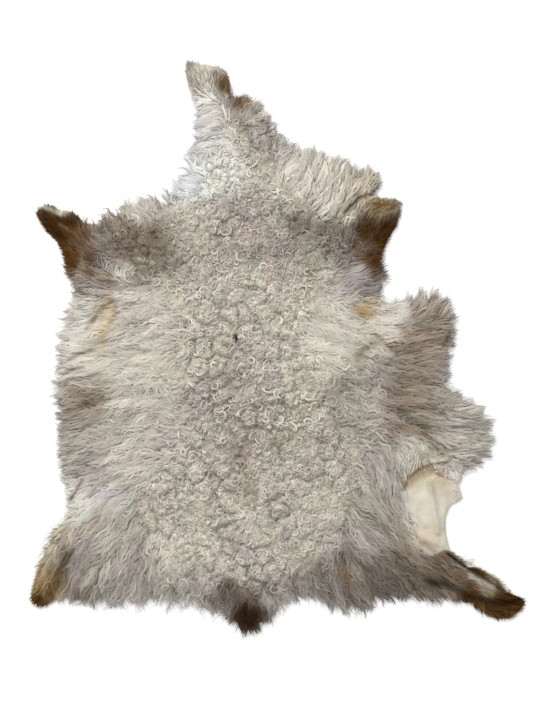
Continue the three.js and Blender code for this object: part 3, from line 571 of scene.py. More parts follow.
@dataclass
class Hide:
    """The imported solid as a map: its cut edge, its outline and the height of its top.

    Lengths are in metres, apart from weld in millimetres and blurs in steps of the map.
    """

    node: bpy.types.Object
    step: float = 3 * MM
    margin: float = 42 * MM
    skin: float = 2.2 * MM
    flush: float = 0.05 * MM
    weld: float = 0.02
    ragged: float = 0.9 * MM
    above: float = 10 * MM
    blurs: tuple[float, float] = (1.6, 4)
    fade: float = 12 * MM
    crown: float = 0.1
    furrow: float = 0.46
    blunt: float = 0.2
    steep: float = 2.4
    jitter: float = 0.38
    cool: tuple[float, float] = (0.05, 0.3)
    around: float = 30 * MM
    clumps: tuple[tuple[float, float, float], ...] = ((34 * MM, 4.5 * MM, 1.0), (17 * MM, 2.6 * MM, 0.6))
    edge: np.ndarray = field(init=False)
    low: np.ndarray = field(init=False)
    maps: dict[str, np.ndarray] = field(init=False, default_factory=dict)

    def __post_init__(self) -> None:
        """Measures the solid."""
        self.node.data.calc_loop_triangles()
        co = np.zeros(len(self.node.data.vertices) * 3, np.float32)
        self.node.data.vertices.foreach_get("co", co)
        ids = np.zeros(len(self.node.data.loop_triangles) * 3, np.int32)
        self.node.data.loop_triangles.foreach_get("vertices", ids)
        points, faces = co.reshape(-1, 3).astype(float), ids.reshape(-1, 3)
        self.edge = self._cut_edge(points[faces])
        self.low = points[:, :2].min(0) - self.margin
        size = np.ceil((points[:, :2].max(0) + self.margin - self.low) / self.step).astype(int) + 1
        self._survey(BVHTree.FromPolygons(points.tolist(), faces.tolist()), size, points[:, 2].max())

    def _cut_edge(self, corners: np.ndarray) -> np.ndarray:
        """The rim of the flat underside as one smooth line, a little uneven.

        Args:
            corners: The three corners of each of the solid's triangles.

        Returns:
            The closed line's points in metres, anticlockwise.
        """
        flat = corners[(corners[:, :, 2] < self.flush).all(axis=1)]
        welded = np.round(flat[:, :, :2].reshape(-1, 2) / (self.weld * MM))
        keys, ids = np.unique(welded, axis=0, return_inverse=True)
        sides = ids.reshape(-1, 3)[:, [0, 1, 1, 2, 2, 0]].reshape(-1, 2).tolist()
        known = {(a, b) for a, b in sides}
        follow = {b: a for a, b in sides if (b, a) not in known}
        loop = [next(iter(follow))]
        while follow[loop[-1]] != loop[0]:
            loop.append(follow[loop[-1]])
        rim = keys[loop] * self.weld * MM
        before, here, after, beyond = (np.roll(rim, k, axis=0)[:, None] for k in (1, 0, -1, -2))
        t = np.linspace(0, 1, 4, endpoint=False)[None, :, None]
        line = 0.5 * (2 * here + (after - before) * t + (2 * before - 5 * here + 4 * after - beyond) * t**2
                      + (3 * here - before - 3 * after + beyond) * t**3)
        line = line.reshape(-1, 2)
        uneven = np.stack([wander(line, 8 * MM, 11), wander(line, 8 * MM, 12)], axis=1)
        return line + self.ragged * uneven

    def _survey(self, tree: BVHTree, size: np.ndarray, top: float) -> None:
        """Fills the maps of height, of depth inside the cut edge and inside the outline, and of the way out.

        Args:
            tree: The solid's faces.
            size: How many points the maps have along X and Y.
            top: Height of the solid's highest point.
        """
        shape = tuple(size)
        axes = (self.low[k] + self.step * np.arange(size[k]) for k in (0, 1))
        grid = np.stack(np.meshgrid(*axes, indexing="ij"), -1)
        flat = grid.reshape(-1, 2)
        down, start = Vector((0, 0, -1)), top + self.above
        hits = [tree.ray_cast((x, y, start), down)[0] for x, y in flat.tolist()]
        height = np.array([0.0 if hit is None else hit.z for hit in hits]).reshape(shape)
        solid = height > 0
        near = self._nearest(self._outline_cells(solid, grid), flat)[0].reshape(shape)
        self.maps["outline"] = np.where(solid, near, -near)
        far, index = self._nearest(self.edge, flat)
        inside = within(flat, self.edge).reshape(shape)
        self.maps["edge"] = np.where(inside, far.reshape(shape), -far.reshape(shape))
        ahead = np.roll(self.edge, -3, axis=0) - np.roll(self.edge, 3, axis=0)
        out = np.stack([ahead[:, 1], -ahead[:, 0]], axis=1) / np.linalg.norm(ahead, axis=1)[:, None]
        self.maps["out_x"], self.maps["out_y"] = (out[index, k].reshape(shape) for k in (0, 1))
        spread, wide = (self._blur(height, cells) / np.maximum(self._blur(solid.astype(float), cells), 1e-3)
                        for cells in self.blurs)
        fall = np.exp(np.minimum(self.maps["outline"], 0) / self.fade)
        self.maps["parting"] = self._partings(flat).reshape(shape)
        crowned = np.where(solid, spread, wide * fall)
        pile = np.maximum(crowned - self.skin, 0)
        self.maps["height"] = crowned + pile * (self.crown - self.furrow * self.maps["parting"])

    def _partings(self, points: np.ndarray) -> np.ndarray:
        """How near each point is to where clumps of wool part: 1 in the parting and 0 on a clump.

        Args:
            points: The points in metres.

        Returns:
            One value for each point.
        """
        rng = np.random.default_rng(13)
        total = np.zeros(len(points))
        for spacing, width, depth in self.clumps:
            seeds = self.scatter(spacing, -self.around, rng)
            tree = tree_of(seeds)
            stray = np.stack([wander(points, 0.5 * spacing, 14), wander(points, 0.5 * spacing, 15)], axis=1)
            found = [tree.find_n((x, y, 0), 2) for x, y in (points + 0.2 * spacing * stray).tolist()]
            off = np.array([pair[1][2] - pair[0][2] for pair in found])
            open_here = smooth(-0.5, 0.35, wander(points, 1.3 * spacing, 16))
            total = np.maximum(total, depth * open_here * np.exp(-((off / width) ** 2)))
        return total * (0.35 + 0.65 * smooth(0.1, 0.6, self.groom(points).curl))

    @staticmethod
    def _outline_cells(solid: np.ndarray, grid: np.ndarray) -> np.ndarray:
        """The grid's points just inside the outline.

        Args:
            solid: Where the grid's points have the solid below them.
            grid: The points in metres.

        Returns:
            The chosen points.
        """
        inner = solid.copy()
        for axis in (0, 1):
            for shift in (-1, 1):
                inner &= np.roll(solid, shift, axis=axis)
        return grid[solid & ~inner]

    @staticmethod
    def _nearest(marks: np.ndarray, points: np.ndarray) -> tuple[np.ndarray, np.ndarray]:
        """How far each point is from the nearest mark, and that mark's number.

        Args:
            marks: The marks, two values each.
            points: The points, two values each.

        Returns:
            A distance and a number for each point.
        """
        tree = tree_of(marks)
        found = [tree.find((x, y, 0)) for x, y in points.tolist()]
        return np.array([f[2] for f in found]), np.array([f[1] for f in found])

    @staticmethod
    def _blur(values: np.ndarray, cells: float) -> np.ndarray:
        """A map smoothed over that many cells.

        Args:
            values: The map.
            cells: How wide the smoothing is.

        Returns:
            The smoothed map.
        """
        along = np.arange(-int(3 * cells), int(3 * cells) + 1)
        kernel = np.exp(-0.5 * (along / cells) ** 2)
        kernel /= kernel.sum()
        for axis in (0, 1):
            values = np.apply_along_axis(np.convolve, axis, values, kernel, mode="same")
        return values

    def sample(self, name: str, xy: np.ndarray) -> np.ndarray:
        """A map's values between its grid's points.

        Args:
            name: The map's name.
            xy: Points in metres.

        Returns:
            One value for each point.
        """
        values = self.maps[name]
        place = np.clip((xy - self.low) / self.step, 0, np.array(values.shape) - 1.001)
        cell = place.astype(int)
        return between(values, cell, place - cell)

    def scatter(self, spacing: float, clearance: float, rng: np.random.Generator) -> np.ndarray:
        """Points spread evenly but loosely over the hide.

        Args:
            spacing: Distance between neighbours, in metres.
            clearance: How far the points stay inside the cut edge.
            rng: The seeded source of the scatter.

        Returns:
            The points in metres.
        """
        high = self.low + self.step * np.array(self.maps["edge"].shape)
        rows, columns = np.ceil((high - self.low) / (spacing * np.array([1, ROW]))).astype(int)
        i, j = np.meshgrid(np.arange(rows), np.arange(columns), indexing="ij")
        grid = np.stack([i + 0.5 * (j % 2), j * ROW], axis=-1).reshape(-1, 2) * spacing + self.low
        grid += rng.uniform(-self.jitter, self.jitter, grid.shape) * spacing
        return grid[self.sample("edge", grid) > clearance]

    def groom(self, xy: np.ndarray) -> Groom:
        """How the wool grows at points of the hide, blended from the named places.

        Args:
            xy: The points in metres.

        Returns:
            The growth at each point.
        """
        at = np.array([(p.x, p.y) for p in PLACES]) * MM
        reach = np.array([p.reach for p in PLACES]) * MM
        off = ((xy[:, None, :] - at[None]) ** 2).sum(-1) / reach**2
        share = (off + self.blunt) ** -self.steep
        share /= share.sum(1, keepdims=True)
        comb = share @ heading(np.radians([p.comb for p in PLACES]))
        curl, length, cover = (share @ np.array([getattr(p, name) for p in PLACES], float)
                               for name in ("curl", "length", "cover"))
        tone, tip = (marked(xy, share @ np.array([getattr(p, name).linear() for p in PLACES]))
                     for name in ("tone", "tip"))
        return Groom(np.arctan2(comb[:, 1], comb[:, 0]), curl, length * MM, cover, tone, tip)

    def shaded(self, flat: np.ndarray, bright: np.ndarray) -> np.ndarray:
        """Tones along locks, from their places' own at the root to the tips' at the end.

        Args:
            flat: The points of each lock in metres, two values each.
            bright: How bright each lock is beside the others.

        Returns:
            Red, green and blue for each point of each lock.
        """
        here = self.groom(flat.reshape(-1, 2))
        along = np.linspace(0, 1, flat.shape[1])[None, :, None]
        tone, tip = (t.reshape(*flat.shape[:2], 3) for t in (here.tone, here.tip))
        # Pale tips take the cooler painted highlight; the rest of each lock, and dark tips, take the warmer
        # painted shade.
        pale = smooth(*self.cool, tip.mean(axis=2, keepdims=True)) * along
        gain = DEEP_SHADE_GAIN * (1 - pale) + TIP_HIGHLIGHT_GAIN * pale
        return (tone * (1 - along) + tip * along) * gain * bright[:, None, None]

    def skin_top(self, xy: np.ndarray) -> np.ndarray:
        """Height of the skin's upper face, with the folds of its bare parts.

        Args:
            xy: Points in metres.

        Returns:
            One height in metres for each point.
        """
        top = np.full(len(xy), self.skin)
        for fold in SKIN_FOLDS:
            top += fold.rise * MM * np.exp(-((away(xy, fold.start, fold.end) / (fold.width * MM)) ** 2))
        return top


# A link is a node, its output, the next node and its input.
Link = tuple[bpy.types.Node, "str | int", bpy.types.Node, "str | int"]
MULTIPLIED = {"data_type": "RGBA", "blend_type": "MULTIPLY", "at_0": 1.0}  # a mix of input 6 times input 7
LILAC_PATCH, PLAIN_PATCH, GREEN_PATCH = (1.0, 0.955, 0.998, 1), (1, 1, 1, 1), (0.972, 1.0, 0.96, 1)


class Effect:
    """A shader node group for the finishes, which a vector and one number go into."""

    def __init__(self, name: str, setting: str, value: float, output: str, kind: str) -> None:
        """Starts a group that takes a vector and one number.

        Args:
            name: The group's name.
            setting: The number's name.
            value: What the number is when nothing sets it.
            output: The name of what the group puts out.
            kind: The type of that socket.
        """
        self.tree = bpy.data.node_groups.new(name, "ShaderNodeTree")
        self.tree.interface.new_socket("Vector", in_out="INPUT", socket_type="NodeSocketVector")
        number = self.tree.interface.new_socket(setting, in_out="INPUT", socket_type="NodeSocketFloat")
        number.default_value = value
        self.tree.interface.new_socket(output, in_out="OUTPUT", socket_type=kind)
        self.inputs = self.tree.nodes.new("NodeGroupInput")
        self.outputs = self.tree.nodes.new("NodeGroupOutput")

    def node(self, kind: str, **settings: object) -> bpy.types.Node:
        """Adds a node, with settings as for add_node."""
        return add_node(self.tree, kind, **settings)

    def wire(self, *links: Link) -> None:
        """Joins sockets."""
        wire(self.tree, *links)


def wire(tree: bpy.types.NodeTree, *links: Link) -> None:
    """Joins sockets of a tree's nodes."""
    for start, output, end, socket in links:
        tree.links.new(start.outputs[output], end.inputs[socket])


def add_node(tree: bpy.types.NodeTree, kind: str, **settings: object) -> bpy.types.Node:
    """A node with its settings.

    Args:
        tree: Where it goes.
        kind: Blender's name of the node type.
        settings: Properties, and socket values, whose names start with in_ and have _ for each space,
            or are at_ with the socket's number.

    Returns:
        The node.
    """
    node = tree.nodes.new(kind)
    for name, value in settings.items():
        if name.startswith("in_"):
            node.inputs[name[3:].replace("_", " ")].default_value = value
        elif name.startswith("at_"):
            node.inputs[int(name[3:])].default_value = value
        else:
            setattr(node, name, value)
    return node


def new_material(name: str, **sockets: object) -> tuple[bpy.types.Material, bpy.types.Node]:
    """A material and its shader.

    Args:
        name: The material's name.
        sockets: Values of the shader's own sockets, with _ for each space in their names.

    Returns:
        The material and the shader's node.
    """
    made = bpy.data.materials.new(name)
    made.use_nodes = True
    shader = made.node_tree.nodes["Principled BSDF"]
    for label, value in sockets.items():
        shader.inputs[label.replace("_", " ")].default_value = value
    return made, shader


def fibre_streaks() -> bpy.types.NodeTree:
    """Fine bright and dark streaks that run along a lock, as single fibres do.

    Returns:
        The node group.
    """
    effect = Effect("fibre_streaks", "Across", 5.0, "Streaks", "NodeSocketFloat")
    wide = effect.node("ShaderNodeCombineXYZ", in_Y=0.6, in_Z=1.0)
    scaled = effect.node("ShaderNodeVectorMath", operation="MULTIPLY")
    noise = effect.node("ShaderNodeTexNoise", in_Scale=1.0, in_Detail=3.0, in_Roughness=0.6)
    effect.wire((effect.inputs, "Across", wide, "X"), (effect.inputs, "Vector", scaled, 0),
                (wide, "Vector", scaled, 1), (scaled, "Vector", noise, "Vector"),
                (noise, "Fac", effect.outputs, "Streaks"))
    return effect.tree


def wool_mottle() -> bpy.types.NodeTree:
    """Soft lilac and greenish patches, and paler and darker specks.

    Returns:
        The node group.
    """
    effect = Effect("wool_mottle", "Amount", 0.1, "Color", "NodeSocketColor")
    patches = effect.node("ShaderNodeTexNoise", in_Scale=22.0, in_Detail=3.0)
    specks = effect.node("ShaderNodeTexNoise", in_Scale=240.0, in_Detail=3.0)
    hue = effect.node("ShaderNodeValToRGB")
    stops = hue.color_ramp.elements
    stops[0].color, stops[0].position = LILAC_PATCH, 0.38
    stops[1].color, stops[1].position = GREEN_PATCH, 0.62
    stops.new(0.5).color = PLAIN_PATCH
    swing = effect.node("ShaderNodeMapRange", in_From_Min=0.3, in_From_Max=0.7)
    low = effect.node("ShaderNodeMath", operation="SUBTRACT", at_0=1.0)
    shade = effect.node("ShaderNodeMix", **MULTIPLIED)
    effect.wire((effect.inputs, "Vector", patches, "Vector"), (effect.inputs, "Vector", specks, "Vector"),
                (patches, "Fac", hue, "Fac"), (specks, "Fac", swing, "Value"),
                (effect.inputs, "Amount", low, 1), (low, "Value", swing, "To Min"),
                (hue, "Color", shade, 6), (swing, "Result", shade, 7), (shade, 2, effect.outputs, "Color"))
    return effect.tree


def curl_rings() -> bpy.types.NodeTree:
    """Small bent ridges like the backs of curls, as a height from 0 to 1.

    Returns:
        The node group.
    """
    effect = Effect("curl_rings", "Scale", 95.0, "Height", "NodeSocketFloat")
    stray = effect.node("ShaderNodeTexNoise", in_Scale=60.0, in_Detail=2.0)
    shift = effect.node("ShaderNodeVectorMath", operation="MULTIPLY_ADD", at_1=(0.012, 0.012, 0.0))
    cells = effect.node("ShaderNodeTexVoronoi", in_Randomness=1.0)
    turns = effect.node("ShaderNodeMath", operation="MULTIPLY", at_1=13.0)
    wave = effect.node("ShaderNodeMath", operation="SINE")
    half = effect.node("ShaderNodeMapRange", in_From_Min=-1.0)
    effect.wire((effect.inputs, "Vector", stray, "Vector"), (stray, "Color", shift, 0),
                (effect.inputs, "Vector", shift, 2), (shift, "Vector", cells, "Vector"),
                (effect.inputs, "Scale", cells, "Scale"), (cells, "Distance", turns, 0),
                (turns, "Value", wave, 0), (wave, "Value", half, "Value"),
                (half, "Result", effect.outputs, "Height"))
    return effect.tree


@dataclass(frozen=True)
class WoolFinish:
    """Wool or hair whose colour is painted on its points. Patchy is how much of the mottle it takes."""

    name: str
    streaks: bpy.types.NodeTree
    mottle: bpy.types.NodeTree
    rings: bpy.types.NodeTree | None = None
    roughness: float = 0.85
    sheen: float = 0.03
    specular: float = 0.06
    depth: float = 0.0006
    amount: float = 0.12
    darkest: float = 0.8
    patchy: float = 1.0

    def material(self) -> bpy.types.Material:
        """Builds the material.

        Returns:
            The material.
        """
        made, shader = new_material(self.name, Roughness=self.roughness, Specular_IOR_Level=self.specular,
                                    Sheen_Weight=self.sheen, Sheen_Roughness=0.6)
        tree = made.node_tree
        place = add_node(tree, "ShaderNodeTexCoord")
        tone = add_node(tree, "ShaderNodeVertexColor", layer_name="tone")
        mottle = add_node(tree, "ShaderNodeGroup", node_tree=self.mottle, in_Amount=self.amount)
        relief = add_node(tree, "ShaderNodeGroup", node_tree=self.rings or self.streaks)
        # The relief goes into the colour as well as into the bump. It is darker in its hollows, a painted
        # shade, and paler on its ridges, a painted highlight. On the locks it is partly the fibres' own
        # streaks.
        shade = add_node(tree, "ShaderNodeMapRange", in_To_Min=self.darkest, in_To_Max=2 - self.darkest)
        patched = add_node(tree, "ShaderNodeMix", **MULTIPLIED | {"at_0": self.patchy})
        streaked = add_node(tree, "ShaderNodeMix", **MULTIPLIED)
        raised = add_node(tree, "ShaderNodeMath", operation="MULTIPLY")
        bump = add_node(tree, "ShaderNodeBump", in_Strength=0.8, in_Distance=self.depth)
        wire(tree, (place, "Object", mottle, "Vector"),
             (place, "Object" if self.rings else "UV", relief, "Vector"),
             (relief, 0, shade, "Value"), (tone, "Color", patched, 6), (mottle, "Color", patched, 7),
             (tone, "Alpha", streaked, 0), (patched, 2, streaked, 6), (shade, "Result", streaked, 7),
             (streaked, 2, shader, "Base Color"), (relief, 0, raised, 0), (tone, "Alpha", raised, 1),
             (raised, "Value", bump, "Height"), (bump, "Normal", shader, "Normal"))
        return made


@dataclass(frozen=True)
class SkinFinish:
    """Tanned skin: pale, finely wrinkled, yellower in patches."""

    name: str
    mottle: bpy.types.NodeTree
    roughness: float = 0.62
    wrinkle: float = 0.0022

    def material(self) -> bpy.types.Material:
        """Builds the material.

        Returns:
            The material.
        """
        made, shader = new_material(self.name, Roughness=self.roughness, Sheen_Weight=0.1)
        tree = made.node_tree
        place = add_node(tree, "ShaderNodeTexCoord")
        tone = add_node(tree, "ShaderNodeVertexColor", layer_name="tone")
        mottle = add_node(tree, "ShaderNodeGroup", node_tree=self.mottle, in_Amount=0.06)
        creases = add_node(tree, "ShaderNodeTexNoise", in_Scale=52.0, in_Detail=6.0, in_Distortion=1.8)
        grain = add_node(tree, "ShaderNodeTexVoronoi", in_Scale=1400.0)
        both = add_node(tree, "ShaderNodeMath", operation="MULTIPLY_ADD", at_1=0.12)
        mix = add_node(tree, "ShaderNodeMix", **MULTIPLIED)
        bump = add_node(tree, "ShaderNodeBump", in_Strength=0.7, in_Distance=self.wrinkle)
        wire(tree, *((place, "Object", node, "Vector") for node in (mottle, creases, grain)),
             (tone, "Color", mix, 6), (mottle, "Color", mix, 7), (mix, 2, shader, "Base Color"),
             (grain, "Distance", both, 0), (creases, "Fac", both, 2),
             (both, "Value", bump, "Height"), (bump, "Normal", shader, "Normal"))
        return made


@dataclass
class Slab:
    """A closed piece over the whole hide: a fine upper face, a rim and a lower face."""

    hide: Hide

    def rim(self, inset: float) -> np.ndarray:
        """The cut edge, drawn in by that much.

        Args:
            inset: How far, in metres.

        Returns:
            The closed line's points in metres, anticlockwise.
        """
        xy = self.hide.edge
        out = np.stack([self.hide.sample("out_x", xy), self.hide.sample("out_y", xy)], axis=1)
        return xy - inset * out

    def close(self, name: str, rim: np.ndarray, inner: np.ndarray, top: np.ndarray,
              low: np.ndarray) -> bpy.types.Object:
        """Builds the closed mesh.

        Args:
            name: The piece's name.
            rim: The closed outline in metres, anticlockwise.
            inner: The flat points inside it.
            top: Height of the upper face at the rim's and the inner points.
            low: Height of the lower face, at all these points or at the rim's alone.

        Returns:
            The object.
        """
        flat, count = np.concatenate([rim, inner]), len(rim)
        upper = triangulated(flat, count)
        under = flat[: len(low)]
        lower = upper if len(low) == len(flat) else triangulated(rim, count)
        points = np.concatenate([np.column_stack([flat, top]), np.column_stack([under, low])])
        i = np.arange(count)
        j = (i + 1) % count
        walls = np.column_stack([i, i + len(flat), j + len(flat), j])
        return mesh_object(name, points, walls, np.concatenate([upper, lower[:, ::-1] + len(flat)]))


@dataclass
class Skin(Slab):
    """The tanned skin itself, which shows at the groin, the shanks and the cut edge."""

    finish: SkinFinish
    coarse: float = 6.5 * MM
    coarse_clear: float = 3.5 * MM
    fine: float = 2.6 * MM
    fine_clear: float = 2.0 * MM
    crinkle: float = 1.6 * MM
    curled: float = 0.8 * MM
    bare: float = 0.75
    tall: float = 4 * MM
    stain: float = 0.35

    def build(self) -> bpy.types.Object:
        """Makes the sheet, finer where it lies bare.

        Returns:
            The sheet.
        """
        rng = np.random.default_rng(21)
        wide = self.hide.scatter(self.coarse, self.coarse_clear, rng)
        close = self.hide.scatter(self.fine, self.fine_clear, rng)
        close = close[self.hide.groom(close).cover < self.bare]
        wide = wide[self.hide.groom(wide).cover >= self.bare]
        rim = self.rim(0.0)
        inner = np.concatenate([wide, close])
        flat = np.concatenate([rim, inner])
        groom = self.hide.groom(flat)
        open_skin = 1 - smooth(0.3, 0.9, groom.cover)
        creased = np.maximum(wander(flat * np.array([1.0, 0.6]), 9 * MM, 22), -0.4)
        top = self.hide.skin_top(flat) + self.crinkle * open_skin * (0.4 + creased)
        top[: len(rim)] += self.curled * np.maximum(wander(rim, 14 * MM, 23), -0.5)
        piece = self.close("skin", rim, inner, top, np.maximum(top - self.hide.skin, 0))
        pale = IVORY.linear() * (1 + 0.1 * wander(flat, 30 * MM, 24))[:, None]
        raised = 0.5 * (self.hide.skin_top(flat) > self.tall)
        stained = smooth(0.1, 0.7, wander(flat, 22 * MM, 25) + raised)[:, None]
        tones = pale * (1 - self.stain * stained) + STRAW.linear() * self.stain * stained
        tones = marked(flat, tones)
        paint(piece, np.concatenate([tones, tones]))
        piece.data.materials.append(self.finish.material())
        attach(piece, "root")
        return piece


@dataclass
class Undercoat(Slab):
    """The dense short wool that fills the pile below the curls."""

    finish: WoolFinish
    spacing: float = 3.5 * MM
    inset: float = 1.2 * MM
    clear: float = 3.2 * MM
    share: float = 0.88
    lumps: float = 1.5 * MM
    sunk: float = 2.2 * MM
    shade: float = 1.2
    base: float = 0.6 * MM
    crest: float = 1.0 * MM
    mixed: float = 0.6
    curly: tuple[float, float] = (0.2, 0.65)
    ringed: tuple[float, float] = (0.3, 0.7)
    covered: tuple[float, float] = (0.55, 0.95)
    pale: tuple[float, float] = (0.35, 0.55)
    rim_slope: tuple[float, float] = (-2 * MM, 12 * MM)

    def build(self) -> bpy.types.Object:
        """Makes the mass of wool on the solid's lumps.

        Returns:
            The mass of wool.
        """
        rng = np.random.default_rng(31)
        rim, inner = self.rim(self.inset), self.hide.scatter(self.spacing, self.clear, rng)
        flat = np.concatenate([rim, inner])
        groom = self.hide.groom(flat)
        covered = smooth(*self.covered, groom.cover)
        straight = 1 - smooth(*self.curly, groom.curl)
        rise = (self.hide.sample("height", flat) - self.hide.skin) * self.share
        rise += self.lumps * covered * wander(flat, 6.5 * MM, 32) * smooth(4 * MM, 12 * MM, rise)
        parting = self.hide.sample("parting", flat)
        rise *= smooth(*self.rim_slope, self.hide.sample("edge", flat))
        rise -= self.sunk * straight
        top = self.crest + covered * (self.hide.skin_top(flat) - self.base + np.maximum(rise, 0))
        piece = self.close("undercoat", rim, inner, top, np.full(len(rim), self.base))
        # Painted shade: the undercoat is darker in the partings between clumps of wool.
        shade = self.shade * (1 + 0.1 * wander(flat, 11 * MM, 33)) * (1 - 0.3 * parting)
        pale = smooth(*self.pale, groom.tone.mean(1))
        # Painted shade: where the wool is straight and not pale, the undercoat is darker, so it shows as dark
        # gaps between the locks.
        shade *= 1 - 0.34 * straight * (1 - 0.75 * pale)
        mixed = self.mixed * pale[:, None]
        # Pale wool shows some of its tips' tone with the painted highlight; the rest takes the painted shade.
        tones = (groom.tone * DEEP_SHADE_GAIN * (1 - mixed) + groom.tip * TIP_HIGHLIGHT_GAIN * mixed) * shade[:, None]
        ringed = smooth(*self.ringed, groom.curl)
        paint(piece, np.concatenate([tones, tones[: len(rim)]]), np.concatenate([ringed, ringed[: len(rim)]]))
        piece.data.materials.append(self.finish.material())
        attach(piece, "root")
        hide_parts("lambskin")
        LOG.info("undercoat: %d faces", len(piece.data.polygons))
        return piece


@dataclass
class Strands:
    """Bent tapering locks of wool as closed tubes of three sides."""

    line: np.ndarray
    radius: np.ndarray
    tones: np.ndarray
    crisp: np.ndarray
    flatness: float = 0.5
    repeat: float = 12 * MM

    def build(self, name: str, finish: bpy.types.Material, slot: str,
              rng: np.random.Generator) -> bpy.types.Object:
        """Makes one mesh of all the locks.

        Args:
            name: The piece's name.
            finish: Its material.
            slot: Not used.
            rng: The seeded source of the fibres' offsets.

        Returns:
            The object.
        """
        count, steps = self.radius.shape
        ahead = np.gradient(self.line, axis=1)
        ahead /= np.linalg.norm(ahead, axis=-1, keepdims=True) + 1e-12
        side = np.cross(ahead, [0.0, 0.0, 1.0])
        side /= np.linalg.norm(side, axis=-1, keepdims=True) + 1e-9
        above = np.cross(side, ahead)
        turn = (np.arange(3) / 3 + 0.25) * TAU
        flatwise = np.cos(turn)[:, None] * side[:, :, None]
        upright = self.flatness * np.sin(turn)[:, None] * above[:, :, None]
        ring = self.line[:, :, None] + self.radius[..., None, None] * (flatwise + upright)
        first = (np.arange(count) * steps * 3)[:, None, None]
        s, k = np.arange(steps - 1)[None, :, None] * 3, np.arange(3)[None, None, :]
        after = (k + 1) % 3
        sides = (first + s + k, first + s + 3 + k, first + s + 3 + after, first + s + after)
        quads = np.stack(sides, axis=-1)
        ends = np.concatenate([first[:, 0] + [0, 1, 2], first[:, 0] + 3 * (steps - 1) + [2, 1, 0]])
        piece = mesh_object(name, ring.reshape(-1, 3), quads.reshape(-1, 4), ends)
        corners = np.zeros(len(piece.data.edges) * 2, np.int32)
        piece.data.edges.foreach_get("vertices", corners)
        a, b = corners.reshape(-1, 2).T
        piece.data.edges.foreach_set("use_edge_sharp", (a % 3 == b % 3) & (a % 3 != 0))
        paint(piece, np.repeat(self.tones.reshape(-1, 3), 3, axis=0), np.repeat(self.crisp, steps * 3))
        along = np.linspace(0, 1, steps)[None, :, None]
        offset = rng.uniform(0, 50, (count, 1, 1))
        length = np.linalg.norm(np.diff(self.line, axis=1), axis=-1).sum(1)[:, None, None] / self.repeat
        u = np.broadcast_to(np.array([0.5, 0.0, 1.0]) + offset, (count, steps, 3))
        v = np.broadcast_to(along * length + offset, (count, steps, 3))
        uv = np.stack([u, v], axis=-1).reshape(-1, 2)
        ids = np.zeros(len(piece.data.loops), np.int32)
        piece.data.loops.foreach_get("vertex_index", ids)
        piece.data.uv_layers.new(name="fibres").data.foreach_set("uv", uv[ids].astype(np.float32).ravel())
        piece.data.materials.append(finish)
        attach(piece, "root")
        LOG.info("%s: %d locks, %d triangles", name, count, count * ((steps - 1) * 6 + 2))
        return piece


def grown(roots: np.ndarray, angle: np.ndarray, length: np.ndarray, bend: np.ndarray) -> np.ndarray:
    """Flat centrelines that start at their roots and turn as they grow.

    Args:
        roots: Where each starts.
        angle: Which way each starts, in radians.
        length: How long each is.
        bend: How far each has turned in the middle of each of its steps.

    Returns:
        The points of each line.
    """
    step = heading(angle[:, None] + bend) * (length / bend.shape[1])[:, None, None]
    line = np.concatenate([np.zeros_like(step[:, :1]), np.cumsum(step, axis=1)], axis=1)
    return roots[:, None] + line


